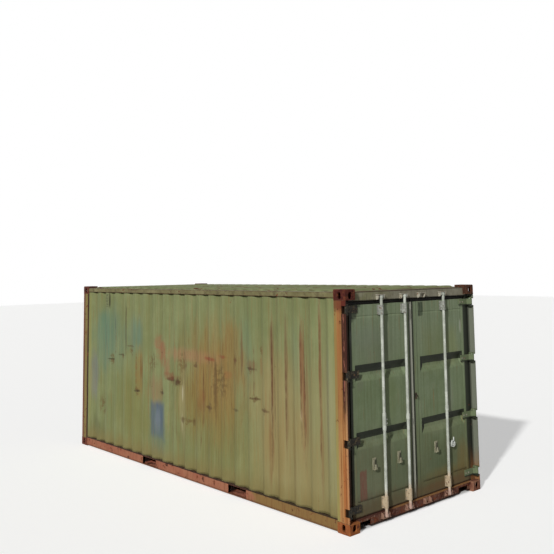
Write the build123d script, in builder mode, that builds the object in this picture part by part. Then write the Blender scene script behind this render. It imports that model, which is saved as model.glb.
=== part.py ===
"""Twenty-foot steel freight container with two hinged rear doors and turning lock rods.

X runs along the container with the doors at +X, Y runs across it and Z is up. The origin is
on the ground under the middle. Lengths are in millimetres.
"""
from build123d import *
import math
import os

os.makedirs("parts", exist_ok=True)

# Overall size
LENGTH = 6058.0
WIDTH = 2438.0
HEIGHT = 2591.0

# Corner castings
CASTING_LENGTH = 178.0
CASTING_WIDTH = 162.0
CASTING_HEIGHT = 118.0
CASTING_PLATE = 28.0
CASTING_WALL = 16.0
SLOT_LENGTH = 124.0
SLOT_WIDTH = 63.5
SLOT_END_INSET = 102.5
SLOT_SIDE_INSET = 89.5
HOLE_HEIGHT = 79.5
END_HOLE_WIDTH = 63.5
SIDE_HOLE_WIDTH = 51.0
CASTING_CHAMFER = 8.0

# Base frame
BASE_LIFT = 14.0
BEAM_TOP = 145.0
FLOOR_THICKNESS = 28.0
FLOOR_GAP = 2.0
RAIL_INSET = 6.0
RAIL_FLANGE = 48.0
RAIL_WALL = 5.0
END_RAIL_DEPTH = 54.0
CROSS_MEMBER_HEIGHT = 122.0
CROSS_MEMBER_WIDTH = 45.0
CROSS_MEMBER_WALL = 4.0
CROSS_MEMBER_PITCH = 300.0

# Fork pockets
POCKET_SPACING = 2050.0
POCKET_SHIFT = 80.0
POCKET_WIDTH = 360.0
POCKET_HEIGHT = 105.0
POCKET_STRAP = 8.0
POCKET_WALL = 5.0
POCKET_PLATE_LENGTH = 330.0

# Top frame and roof
ROOF_DROP = 31.0
TOP_RAIL = 60.0
TOP_RAIL_WALL = 4.0
ROOF_SHEET = 2.0
ROOF_RIB_HEIGHT = 20.0
ROOF_RIB_PITCH = 209.0
ROOF_RIB_BASE = 140.0
ROOF_RIB_TAPER = 58.0
ROOF_EDGE = 26.0

# Corrugated walls
SHEET = 2.0
WAVE_PITCH = 278.0
WAVE_FLAT = 72.0
WAVE_SLOPE = 68.0
WAVE_DEPTH = 36.0
SIDE_WALL_INSET = 10.0
FRONT_WAVE_PITCH = 250.0
FRONT_WAVE_FLAT = 106.0
FRONT_WAVE_SLOPE = 20.0
FRONT_WAVE_DEPTH = 44.0

# Corner posts
POST_INSET = 4.0
POST_WALL = 7.0
POST_WIDTH = 108.0
LIP_THICKNESS = 10.0
FRONT_POST_LEG = 50.0

# Rear doors
LEAF_RECESS = 62.0
LEAF_DEPTH = 50.0
LEAF_BOTTOM = 132.0
LEAF_HEADER_GAP = 43.0
LEAF_HALF_GAP = 7.0
LEAF_POST_GAP = 12.0
STRIP_BEHIND_LEAF = 8.0
HINGE_STILE = 75.0
FREE_STILE = 125.0
LEAF_TOP_RAIL = 122.0
LEAF_BOTTOM_RAIL = 150.0
LEAF_FRAME_WALL = 4.0
PANEL_SHEET = 3.0
GROOVE_TOPS = (1754.0, 1028.0)
GROOVE_SLOPE = 64.0
GROOVE_FLAT = 60.0
GROOVE_DEPTH = 36.0
GASKET_THICKNESS = 18.0
GASKET_BACK = 4.0
GASKET_SIDE = 5.0
GASKET_CENTRE = 2.0
GASKET_TOP = 34.0
GASKET_BOTTOM = 4.0

# Door sill and header
SILL_RECESS = 56.0
SILL_DEPTH = 94.0
SILL_TOP = 122.0
SILL_STEP = 32.0
SILL_WALL = 5.0
SILL_NOTCH_WIDTH = 190.0
SILL_NOTCH_START = 45.0
SILL_NOTCH_HEIGHT = 68.0
HEADER_DROP = 136.0

# Hinges
PIN_RECESS = 22.0
PIN_INSET = 36.0
PIN_RADIUS = 11.0
PIN_CLEARANCE = 0.5
BARREL_RADIUS = 17.0
BARREL_HEIGHT = 80.0
BARREL_CLEARANCE = 3.0
LUG_THICKNESS = 16.0
LUG_MARGIN = 18.0
HINGE_LOWEST = 230.0
HINGE_TOP_MARGIN = 43.0
HINGE_COUNT = 4
STRAP_THICKNESS = 10.0
STRAP_REACH = 130.0
STRAP_START = 48.0

# Lock rods
ROD_RADIUS = 17.0
ROD_RECESS = 24.0
ROD_BOTTOM = 62.0
ROD_DROP = 83.0
ROD_OUTER_Y = 590.0
ROD_INNER_Y = 168.0
CAM_HEIGHT = 30.0
CAM_HUB_RADIUS = 22.0
CAM_REACH = 40.0
CAM_ROOT = 30.0
CAM_NOSE = 14.0
BRACKET_CLEARANCE = 1.0
BRACKET_WALL = 6.0
BRACKET_WIDTH = 74.0
UPPER_BRACKET_MARGIN = 12.0
UPPER_BRACKET_HEIGHT = 110.0
LOWER_BRACKET_BOTTOM = 155.0
LOWER_BRACKET_HEIGHT = 125.0
HUB_HEIGHT = 190.0
HUB_MIDDLE = 1095.0
HUB_RADIUS = 22.0
CLEVIS_OFFSET = 32.0
CLEVIS_RADIUS = 15.0
CLEVIS_HOLE = 7.0
CLEVIS_EAR = 14.0
CLEVIS_GAP = 30.0
COLLAR_HEIGHT = 60.0
KEEPER_WALL = 10.0
KEEPER_PLATE = 4.0
KEEPER_GAP = 6.0
KEEPER_HEIGHT = 52.0
KEEPER_END_GAP = 4.0
KEEPER_REACH = 40.0
KEEPER_SLOPE = 18.0
KEEPER_SHELF = 8.0
KEEPER_SHELF_OVERHANG = 10.0
CATCH_HEIGHT = 130.0
CATCH_WIDTH = 56.0
CATCH_PLATE = 5.0
CATCH_REACH = 34.0
CATCH_HOOK = 62.0
CATCH_HOOK_WIDTH = 34.0
CATCH_FLAP = 40.0
CATCH_MIDDLE = 655.0
CATCHES_LEFT = (737.0, 305.0)
CATCHES_RIGHT = (392.0,)
ROUND_CATCH_Y = 712.0
ROUND_CATCH_Z = 640.0
ROUND_CATCH_RADIUS = 40.0
ROUND_CATCH_DEPTH = 30.0
ROUND_CATCH_RIM = 8.0
ROUND_CATCH_BORE = 13.0
ROUND_CATCH_WALL = 7.0
ROUND_CATCH_TONGUE = 34.0

# Vents
VENT_WAVE = 2
VENT_WIDTH = 90.0
VENT_HEIGHT = 214.0
VENT_DEPTH = 9.0
VENT_SHEET = 2.0
VENT_DROP = 11.0
VENT_SLOPE = 7.0

# Places worked out from the sizes
END_X = LENGTH / 2
SIDE_Y = WIDTH / 2
CASTING_X = END_X - CASTING_LENGTH
CASTING_Y = SIDE_Y - CASTING_WIDTH
CASTING_INNER_PLATE = CASTING_HEIGHT - CASTING_PLATE - HOLE_HEIGHT
TOP_CASTING_Z = HEIGHT - CASTING_HEIGHT
ROOF_SEAT = HEIGHT - ROOF_DROP
HEADER_BOTTOM = HEIGHT - HEADER_DROP
LEAF_TOP = HEADER_BOTTOM - LEAF_HEADER_GAP
FLOOR_TOP = BEAM_TOP + FLOOR_THICKNESS
RAIL_OUTER = SIDE_Y - RAIL_INSET
RAIL_INNER = RAIL_OUTER - RAIL_FLANGE
TOP_RAIL_BOTTOM = ROOF_SEAT - TOP_RAIL
LEAF_FACE = END_X - LEAF_RECESS
LEAF_BACK = LEAF_FACE - LEAF_DEPTH
POST_STRIP = LEAF_FACE - STRIP_BEHIND_LEAF
POST_OUTER = SIDE_Y - POST_INSET
POST_INNER = POST_OUTER - POST_WIDTH
LEAF_HINGE_EDGE = POST_INNER - LEAF_POST_GAP
SILL_FACE = END_X - SILL_RECESS
SILL_BACK = SILL_FACE - SILL_DEPTH
PIN_X = END_X - PIN_RECESS
PIN_Y = SIDE_Y - PIN_INSET
ROD_X = END_X - ROD_RECESS
ROD_TOP = HEIGHT - ROD_DROP
UPPER_BRACKET_BOTTOM = LEAF_TOP - UPPER_BRACKET_MARGIN - UPPER_BRACKET_HEIGHT
HINGE_PITCH = (LEAF_TOP - HINGE_TOP_MARGIN - HINGE_LOWEST) / (HINGE_COUNT - 1)
HINGE_HEIGHTS = [HINGE_LOWEST + HINGE_PITCH * step for step in range(HINGE_COUNT)]
POCKET_CENTRES = [POCKET_SHIFT - POCKET_SPACING / 2, POCKET_SHIFT + POCKET_SPACING / 2]
POCKET_BOTTOM = BASE_LIFT + POCKET_STRAP
POCKET_TOP = POCKET_BOTTOM + POCKET_HEIGHT


def save(part, name):
    """Label a finished piece and write it."""
    part.label = name
    export_step(part, f"parts/{name}.step")


def box_between(low, high, mode=Mode.ADD):
    """A box from its lowest to its highest corner, in the part being built."""
    middle = tuple((a + b) / 2 for a, b in zip(low, high))
    size = [b - a for a, b in zip(low, high)]
    with Locations(middle):
        Box(*size, mode=mode)


def mirrored(part, side):
    """The piece as drawn for +Y, or its mirror image for -Y."""
    return part if side > 0 else part.mirror(Plane.XZ)


def edges_at(builder, corner):
    """The edges of the part being built that end at a corner."""
    near = 0.01
    return [
        edge for edge in builder.edges()
        if min((edge @ 0 - corner).length, (edge @ 1 - corner).length) < near
    ]


# Corner castings


def corner_casting(end, side, top):
    """A hollow casting with its slot outwards and a hole in its end and its side."""
    z_low = TOP_CASTING_Z if top else 0.0
    outer_plate = (z_low + CASTING_HEIGHT) if top else 0.0
    cavity_low = z_low + (CASTING_INNER_PLATE if top else CASTING_PLATE)
    middle_x = end * (END_X - CASTING_LENGTH / 2)
    middle_y = side * (SIDE_Y - CASTING_WIDTH / 2)
    cavity_middle = cavity_low + HOLE_HEIGHT / 2
    with BuildPart() as casting:
        with Locations((middle_x, middle_y, z_low + CASTING_HEIGHT / 2)):
            Box(CASTING_LENGTH, CASTING_WIDTH, CASTING_HEIGHT)
        outer_corner = Vector(end * END_X, side * SIDE_Y, outer_plate)
        chamfer(edges_at(casting, outer_corner), length=CASTING_CHAMFER)
        with Locations((middle_x, middle_y, cavity_middle)):
            Box(
                CASTING_LENGTH - 2 * CASTING_WALL,
                CASTING_WIDTH - 2 * CASTING_WALL,
                HOLE_HEIGHT,
                mode=Mode.SUBTRACT,
            )
        with BuildSketch(Plane.XY.offset(outer_plate)):
            with Locations((end * (END_X - SLOT_END_INSET), side * (SIDE_Y - SLOT_SIDE_INSET))):
                SlotOverall(SLOT_LENGTH, SLOT_WIDTH)
        extrude(amount=-CASTING_PLATE if top else CASTING_PLATE, mode=Mode.SUBTRACT)
        with BuildSketch(Plane.YZ.offset(end * END_X)):
            with Locations((middle_y, cavity_middle)):
                SlotOverall(HOLE_HEIGHT, END_HOLE_WIDTH, rotation=90)
        extrude(amount=-end * CASTING_WALL, mode=Mode.SUBTRACT)
        with BuildSketch(Plane.XZ.offset(-side * SIDE_Y)):
            with Locations((middle_x, cavity_middle)):
                SlotOverall(HOLE_HEIGHT, SIDE_HOLE_WIDTH, rotation=90)
        extrude(amount=side * CASTING_WALL, mode=Mode.SUBTRACT)
    return casting.part


# Corner posts


def door_post(side):
    """A box section with an outer lip that is cut away at each hinge."""
    notch_height = BARREL_HEIGHT + 2 * BARREL_CLEARANCE
    with BuildPart() as post:
        with BuildSketch(Plane.XY.offset(CASTING_HEIGHT)):
            with BuildLine():
                Polyline(
                    (CASTING_X, POST_INNER),
                    (CASTING_X, POST_OUTER),
                    (POST_STRIP, POST_OUTER),
                    (POST_STRIP, POST_INNER),
                    close=True,
                )
            make_face()
            offset(amount=-POST_WALL, mode=Mode.SUBTRACT)
        extrude(amount=TOP_CASTING_Z - CASTING_HEIGHT)
        box_between(
            (POST_STRIP, POST_OUTER - LIP_THICKNESS, CASTING_HEIGHT),
            (END_X - POST_INSET, POST_OUTER, TOP_CASTING_Z),
        )
        for height in HINGE_HEIGHTS:
            box_between(
                (POST_STRIP, POST_OUTER - LIP_THICKNESS, height - notch_height / 2),
                (END_X, SIDE_Y, height + notch_height / 2),
                mode=Mode.SUBTRACT,
            )
    return mirrored(post.part, side)


def front_post(side):
    """A closed section with one leg along the side and one along the front."""
    with BuildPart() as post:
        with BuildSketch(Plane.XY.offset(CASTING_HEIGHT)):
            with BuildLine():
                Polyline(
                    (-END_X + POST_INSET, POST_OUTER),
                    (-CASTING_X, POST_OUTER),
                    (-CASTING_X, POST_OUTER - FRONT_POST_LEG),
                    (-END_X + POST_INSET + FRONT_POST_LEG, POST_OUTER - FRONT_POST_LEG),
                    (-END_X + POST_INSET + FRONT_POST_LEG, CASTING_Y),
                    (-END_X + POST_INSET, CASTING_Y),
                    close=True,
                )
            make_face()
            offset(amount=-POST_WALL, mode=Mode.SUBTRACT)
        extrude(amount=TOP_CASTING_Z - CASTING_HEIGHT)
    return mirrored(post.part, side)


# Base frame


def bottom_side_rail(side):
    """A channel that opens inwards, with the mouths of the fork pockets cut through its web."""
    with BuildPart() as rail:
        with BuildSketch(Plane.YZ.offset(-CASTING_X)):
            with BuildLine():
                Polyline(
                    (RAIL_OUTER, BASE_LIFT),
                    (RAIL_OUTER, BEAM_TOP),
                    (RAIL_INNER, BEAM_TOP),
                    (RAIL_INNER, BEAM_TOP - RAIL_WALL),
                    (RAIL_OUTER - RAIL_WALL, BEAM_TOP - RAIL_WALL),
                    (RAIL_OUTER - RAIL_WALL, BASE_LIFT + RAIL_WALL),
                    (RAIL_INNER, BASE_LIFT + RAIL_WALL),
                    (RAIL_INNER, BASE_LIFT),
                    close=True,
                )
            make_face()
        extrude(amount=2 * CASTING_X)
        for middle in POCKET_CENTRES:
            box_between(
                (middle - POCKET_WIDTH / 2, RAIL_INNER, POCKET_BOTTOM),
                (middle + POCKET_WIDTH / 2, SIDE_Y, POCKET_TOP),
                mode=Mode.SUBTRACT,
            )
    return mirrored(rail.part, side)


def front_bottom_rail():
    """A box section between the front castings."""
    low_x = -END_X + RAIL_INSET
    with BuildPart() as rail:
        with BuildSketch(Plane.XZ.offset(-CASTING_Y)):
            with Locations((low_x + END_RAIL_DEPTH / 2, (BASE_LIFT + BEAM_TOP) / 2)):
                Rectangle(END_RAIL_DEPTH, BEAM_TOP - BASE_LIFT)
            offset(amount=-RAIL_WALL, mode=Mode.SUBTRACT)
        extrude(amount=2 * CASTING_Y)
    return rail.part


def front_top_rail():
    """A square tube between the front castings."""
    low_x = -END_X + RAIL_INSET
    with BuildPart() as rail:
        with BuildSketch(Plane.XZ.offset(-CASTING_Y)):
            with Locations((low_x + TOP_RAIL / 2, ROOF_SEAT - TOP_RAIL / 2)):
                Rectangle(TOP_RAIL, TOP_RAIL)
            offset(amount=-TOP_RAIL_WALL, mode=Mode.SUBTRACT)
        extrude(amount=2 * CASTING_Y)
    return rail.part


def top_side_rail(side):
    """A square tube between the top castings."""
    with BuildPart() as rail:
        with BuildSketch(Plane.YZ.offset(-CASTING_X)):
            with Locations((RAIL_OUTER - TOP_RAIL / 2, ROOF_SEAT - TOP_RAIL / 2)):
                Rectangle(TOP_RAIL, TOP_RAIL)
            offset(amount=-TOP_RAIL_WALL, mode=Mode.SUBTRACT)
        extrude(amount=2 * CASTING_X)
    return mirrored(rail.part, side)


def bay_positions():
    """Middles of the floor beams: evenly spaced in each bay beside and between the pockets."""
    half_tunnel = POCKET_WIDTH / 2 + POCKET_WALL
    bay_ends = [-END_X + RAIL_INSET + END_RAIL_DEPTH]
    for middle in POCKET_CENTRES:
        bay_ends += [middle - half_tunnel, middle + half_tunnel]
    bay_ends.append(SILL_BACK)
    middles = []
    for start, stop in zip(bay_ends[::2], bay_ends[1::2]):
        count = max(1, round((stop - start) / CROSS_MEMBER_PITCH) - 1)
        spacing = (stop - start) / (count + 1)
        middles += [start + spacing * (step + 1) for step in range(count)]
    return middles


def cross_members():
    """Channels that carry the floor between the side rails."""
    low_z = BEAM_TOP - CROSS_MEMBER_HEIGHT
    with BuildPart() as beams:
        for middle in bay_positions():
            low_x = middle - CROSS_MEMBER_WIDTH / 2
            with BuildSketch(Plane.XZ.offset(-RAIL_INNER)):
                with BuildLine():
                    Polyline(
                        (low_x, low_z),
                        (low_x, BEAM_TOP),
                        (low_x + CROSS_MEMBER_WIDTH, BEAM_TOP),
                        (low_x + CROSS_MEMBER_WIDTH, BEAM_TOP - CROSS_MEMBER_WALL),
                        (low_x + CROSS_MEMBER_WALL, BEAM_TOP - CROSS_MEMBER_WALL),
                        (low_x + CROSS_MEMBER_WALL, low_z + CROSS_MEMBER_WALL),
                        (low_x + CROSS_MEMBER_WIDTH, low_z + CROSS_MEMBER_WALL),
                        (low_x + CROSS_MEMBER_WIDTH, low_z),
                        close=True,
                    )
                make_face()
            extrude(amount=2 * RAIL_INNER)
    return beams.part


def fork_pocket(middle):
    """A tunnel across the base: two sides, a top, and a bottom plate at each mouth."""
    low_x = middle - POCKET_WIDTH / 2
    high_x = middle + POCKET_WIDTH / 2
    low_z = POCKET_BOTTOM - POCKET_WALL
    with BuildPart() as pocket:
        for wall_x in (low_x - POCKET_WALL, high_x):
            box_between(
                (wall_x, -RAIL_INNER, low_z),
                (wall_x + POCKET_WALL, RAIL_INNER, BEAM_TOP),
            )
        box_between(
            (low_x, -RAIL_INNER, POCKET_TOP),
            (high_x, RAIL_INNER, POCKET_TOP + POCKET_WALL),
        )
        for start in (-RAIL_INNER, RAIL_INNER - POCKET_PLATE_LENGTH):
            box_between(
                (low_x, start, low_z),
                (high_x, start + POCKET_PLATE_LENGTH, POCKET_BOTTOM),
            )
    return pocket.part


def floor():
    """The timber deck on the cross members."""
    half_width = RAIL_INNER - FLOOR_GAP
    half_mouth = POST_INNER - FLOOR_GAP
    with BuildPart() as deck:
        box_between(
            (-END_X + RAIL_INSET + END_RAIL_DEPTH, -half_width, BEAM_TOP),
            (CASTING_X, half_width, FLOOR_TOP),
        )
        box_between(
            (CASTING_X, -half_mouth, BEAM_TOP),
            (SILL_BACK, half_mouth, FLOOR_TOP),
        )
    return deck.part


# Walls and roof


def wave_margin(length, flat, pitch):
    """How many whole waves fit in a length, and what is left at each end."""
    count = int((length - flat) // pitch)
    return count, (length - count * pitch - flat) / 2


def crest(number):
    """Where a crest of the side walls starts and stops, counted from the front."""
    margin = wave_margin(2 * CASTING_X, WAVE_FLAT, WAVE_PITCH)[1]
    start = -CASTING_X + margin + number * WAVE_PITCH
    return start, start + WAVE_FLAT


def wave_points(start, stop, outer, depth, flat, slope, pitch):
    """Corners of a trapezoid wave between two places, with the rest of the length as end flats."""
    count, margin = wave_margin(stop - start, flat, pitch)
    points = [(start, outer)]
    for step in range(count):
        crest_end = start + margin + flat + step * pitch
        valley = pitch - flat - 2 * slope
        points += [
            (crest_end, outer),
            (crest_end + slope, outer - depth),
            (crest_end + slope + valley, outer - depth),
            (crest_end + 2 * slope + valley, outer),
        ]
    points.append((stop, outer))
    return points


def side_wall(side):
    """A pressed sheet with upright waves, between the posts and the side rails."""
    outer = wave_points(
        -CASTING_X, CASTING_X, SIDE_Y - SIDE_WALL_INSET,
        WAVE_DEPTH, WAVE_FLAT, WAVE_SLOPE, WAVE_PITCH,
    )
    inner = [(x, y - SHEET) for x, y in reversed(outer)]
    with BuildPart() as wall:
        with BuildSketch(Plane.XY.offset(BEAM_TOP)):
            with BuildLine():
                Polyline(*outer, *inner, close=True)
            make_face()
        extrude(amount=TOP_RAIL_BOTTOM - BEAM_TOP)
    return mirrored(wall.part, side)


def front_wall():
    """A pressed sheet with deeper upright waves, between the front posts."""
    outer = wave_points(
        -CASTING_Y, CASTING_Y, END_X - SIDE_WALL_INSET,
        FRONT_WAVE_DEPTH, FRONT_WAVE_FLAT, FRONT_WAVE_SLOPE, FRONT_WAVE_PITCH,
    )
    inner = [(y, x - SHEET) for y, x in reversed(outer)]
    outline = [(-x, y) for y, x in outer + inner]
    with BuildPart() as wall:
        with BuildSketch(Plane.XY.offset(BEAM_TOP)):
            with BuildLine():
                Polyline(*outline, close=True)
            make_face()
        extrude(amount=TOP_RAIL_BOTTOM - BEAM_TOP)
    return wall.part


def roof():
    """A flat sheet on the rails with pressed ribs across it, hollow underneath."""
    half_length = CASTING_X
    half_width = RAIL_OUTER - ROOF_SHEET
    rib_length = 2 * (half_width - TOP_RAIL - ROOF_EDGE)
    count = int((2 * half_length - ROOF_RIB_BASE) // ROOF_RIB_PITCH) + 1
    with BuildPart() as cover:
        box_between(
            (-half_length, -half_width, ROOF_SEAT),
            (half_length, half_width, ROOF_SEAT + ROOF_SHEET),
        )
        with BuildSketch(Plane.XY.offset(ROOF_SEAT + ROOF_SHEET)):
            with GridLocations(ROOF_RIB_PITCH, 1, count, 1):
                Rectangle(ROOF_RIB_BASE, rib_length)
        extrude(amount=ROOF_RIB_HEIGHT, taper=ROOF_RIB_TAPER)
        with BuildSketch(Plane.XY.offset(ROOF_SEAT)):
            with GridLocations(ROOF_RIB_PITCH, 1, count, 1):
                Rectangle(ROOF_RIB_BASE, rib_length)
        extrude(amount=ROOF_RIB_HEIGHT, taper=ROOF_RIB_TAPER, mode=Mode.SUBTRACT)
    return cover.part


# Sill and header of the door end


def door_sill():
    """A box section under the doors with a step up to the floor and a notch near each casting."""
    with BuildPart() as sill:
        with BuildSketch(Plane.XZ.offset(-CASTING_Y)):
            with BuildLine():
                Polyline(
                    (SILL_BACK, BASE_LIFT),
                    (SILL_BACK, FLOOR_TOP),
                    (SILL_BACK + SILL_STEP, FLOOR_TOP),
                    (SILL_BACK + SILL_STEP, SILL_TOP),
                    (SILL_FACE, SILL_TOP),
                    (SILL_FACE, BASE_LIFT),
                    close=True,
                )
            make_face()
            offset(amount=-SILL_WALL, mode=Mode.SUBTRACT)
        extrude(amount=2 * CASTING_Y)
        for side in (-1, 1):
            start = side * (CASTING_Y - SILL_NOTCH_START)
            stop = start - side * SILL_NOTCH_WIDTH
            box_between(
                (SILL_BACK, min(start, stop), BASE_LIFT),
                (SILL_FACE, max(start, stop), BASE_LIFT + SILL_NOTCH_HEIGHT),
                mode=Mode.SUBTRACT,
            )
            low_y, high_y = sorted((side * CASTING_Y, side * POST_INNER))
            box_between(
                (SILL_BACK, low_y, CASTING_HEIGHT),
                (SILL_BACK + SILL_STEP, high_y, FLOOR_TOP),
            )
    return sill.part


def door_header():
    """A box section over the doors, wider below the castings where it meets the posts."""
    with BuildPart() as header:
        with BuildSketch(Plane.XZ.offset(-CASTING_Y)):
            with Locations(((SILL_BACK + SILL_FACE) / 2, (HEADER_BOTTOM + ROOF_SEAT) / 2)):
                Rectangle(SILL_DEPTH, ROOF_SEAT - HEADER_BOTTOM)
            offset(amount=-SILL_WALL, mode=Mode.SUBTRACT)
        extrude(amount=2 * CASTING_Y)
        for side in (-1, 1):
            low_y, high_y = sorted((side * CASTING_Y, side * POST_INNER))
            box_between(
                (SILL_BACK, low_y, HEADER_BOTTOM),
                (SILL_FACE, high_y, TOP_CASTING_Z),
            )
    return header.part


def end_plate(end, edge_x):
    """The flat part of the roof from the ribbed sheet out to the edge of an end rail."""
    low_x, high_x = sorted((end * CASTING_X, end * edge_x))
    with BuildPart() as plate:
        box_between(
            (low_x, -CASTING_Y, ROOF_SEAT),
            (high_x, CASTING_Y, ROOF_SEAT + ROOF_SHEET),
        )
    return plate.part


# Hinges


def hinge_lugs(side):
    """Two plates and a pin at each hinge, welded into the post."""
    gap = BARREL_HEIGHT / 2 + BARREL_CLEARANCE
    with BuildPart() as lugs:
        for height in HINGE_HEIGHTS:
            for low_z in (height - gap - LUG_THICKNESS, height + gap):
                box_between(
                    (POST_STRIP, PIN_Y - LUG_MARGIN, low_z),
                    (PIN_X + LUG_MARGIN, POST_OUTER - LIP_THICKNESS, low_z + LUG_THICKNESS),
                )
            with Locations((PIN_X, PIN_Y, height)):
                Cylinder(PIN_RADIUS, 2 * gap)
    return mirrored(lugs.part, side)


def hinge_straps(side):
    """Straps on the door with a barrel round each pin."""
    strap_front = LEAF_FACE + STRAP_THICKNESS
    strap_outer = PIN_Y - STRAP_START
    with BuildPart() as straps:
        for height in HINGE_HEIGHTS:
            with BuildSketch(Plane.XY.offset(height - BARREL_HEIGHT / 2)):
                with BuildLine():
                    Polyline(
                        (LEAF_FACE, LEAF_HINGE_EDGE - STRAP_REACH),
                        (LEAF_FACE, strap_outer),
                        (PIN_X - BARREL_RADIUS / 2, PIN_Y - BARREL_RADIUS / 2),
                        (PIN_X, PIN_Y - BARREL_RADIUS),
                        (strap_front, strap_outer),
                        (strap_front, LEAF_HINGE_EDGE - STRAP_REACH),
                        close=True,
                    )
                make_face()
                with Locations((PIN_X, PIN_Y)):
                    Circle(BARREL_RADIUS)
                    Circle(PIN_RADIUS + PIN_CLEARANCE, mode=Mode.SUBTRACT)
            extrude(amount=BARREL_HEIGHT)
    return mirrored(straps.part, side)


# Door leaves


def leaf_frame(side):
    """Two stiles and two rails of hollow section, as one welded frame."""
    with BuildPart() as frame:
        box_between(
            (LEAF_BACK, LEAF_HALF_GAP, LEAF_BOTTOM),
            (LEAF_FACE, LEAF_HINGE_EDGE, LEAF_TOP),
        )
        box_between(
            (LEAF_BACK, LEAF_HALF_GAP + FREE_STILE, LEAF_BOTTOM + LEAF_BOTTOM_RAIL),
            (LEAF_FACE, LEAF_HINGE_EDGE - HINGE_STILE, LEAF_TOP - LEAF_TOP_RAIL),
            mode=Mode.SUBTRACT,
        )
        wall = LEAF_FRAME_WALL
        for low_y, high_y in (
            (LEAF_HALF_GAP, LEAF_HALF_GAP + FREE_STILE),
            (LEAF_HINGE_EDGE - HINGE_STILE, LEAF_HINGE_EDGE),
        ):
            box_between(
                (LEAF_BACK + wall, low_y + wall, LEAF_BOTTOM + wall),
                (LEAF_FACE - wall, high_y - wall, LEAF_TOP - wall),
                mode=Mode.SUBTRACT,
            )
        for low_z, high_z in (
            (LEAF_BOTTOM, LEAF_BOTTOM + LEAF_BOTTOM_RAIL),
            (LEAF_TOP - LEAF_TOP_RAIL, LEAF_TOP),
        ):
            box_between(
                (LEAF_BACK + wall, LEAF_HALF_GAP + FREE_STILE, low_z + wall),
                (LEAF_FACE - wall, LEAF_HINGE_EDGE - HINGE_STILE, high_z - wall),
                mode=Mode.SUBTRACT,
            )
    return mirrored(frame.part, side)


def leaf_panel(side):
    """A pressed sheet with two level grooves, inside the frame."""
    low_z = LEAF_BOTTOM + LEAF_BOTTOM_RAIL
    high_z = LEAF_TOP - LEAF_TOP_RAIL
    outer = [(LEAF_FACE, high_z)]
    for top in GROOVE_TOPS:
        outer += [
            (LEAF_FACE, top),
            (LEAF_FACE - GROOVE_DEPTH, top - GROOVE_SLOPE),
            (LEAF_FACE - GROOVE_DEPTH, top - GROOVE_SLOPE - GROOVE_FLAT),
            (LEAF_FACE, top - 2 * GROOVE_SLOPE - GROOVE_FLAT),
        ]
    outer.append((LEAF_FACE, low_z))
    inner = [(x - PANEL_SHEET, z) for x, z in reversed(outer)]
    start = LEAF_HALF_GAP + FREE_STILE
    with BuildPart() as panel:
        with BuildSketch(Plane.XZ.offset(-start)):
            with BuildLine():
                Polyline(*outer, *inner, close=True)
            make_face()
        extrude(amount=-(LEAF_HINGE_EDGE - HINGE_STILE - start))
    return mirrored(panel.part, side)


def leaf_gasket(side):
    """A rubber ring round the edge of the leaf."""
    low_x = LEAF_BACK + GASKET_BACK
    with BuildPart() as gasket:
        box_between(
            (low_x, LEAF_HALF_GAP - GASKET_CENTRE, LEAF_BOTTOM - GASKET_BOTTOM),
            (low_x + GASKET_THICKNESS, LEAF_HINGE_EDGE + GASKET_SIDE, LEAF_TOP + GASKET_TOP),
        )
        box_between(
            (low_x, LEAF_HALF_GAP, LEAF_BOTTOM),
            (low_x + GASKET_THICKNESS, LEAF_HINGE_EDGE, LEAF_TOP),
            mode=Mode.SUBTRACT,
        )
    return mirrored(gasket.part, side)


# Lock rods and what holds them


def rod_brackets(side, places):
    """A saddle high and low on each rod, each on its plate on the leaf."""
    bore = ROD_RADIUS + BRACKET_CLEARANCE
    with BuildPart() as brackets:
        for place in places:
            for low_z, height in (
                (UPPER_BRACKET_BOTTOM, UPPER_BRACKET_HEIGHT),
                (LOWER_BRACKET_BOTTOM, LOWER_BRACKET_HEIGHT),
            ):
                with BuildSketch(Plane.XY.offset(low_z)):
                    with Locations((ROD_X, place)):
                        Circle(bore + BRACKET_WALL)
                    saddle_half = bore + BRACKET_WALL
                    with Locations(((LEAF_FACE + ROD_X) / 2, place)):
                        Rectangle(ROD_X - LEAF_FACE, 2 * saddle_half)
                    with Locations((LEAF_FACE + BRACKET_WALL / 2, place)):
                        Rectangle(BRACKET_WALL, BRACKET_WIDTH)
                    with Locations((ROD_X, place)):
                        Circle(bore, mode=Mode.SUBTRACT)
                extrude(amount=height)
    return mirrored(brackets.part, side)


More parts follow.
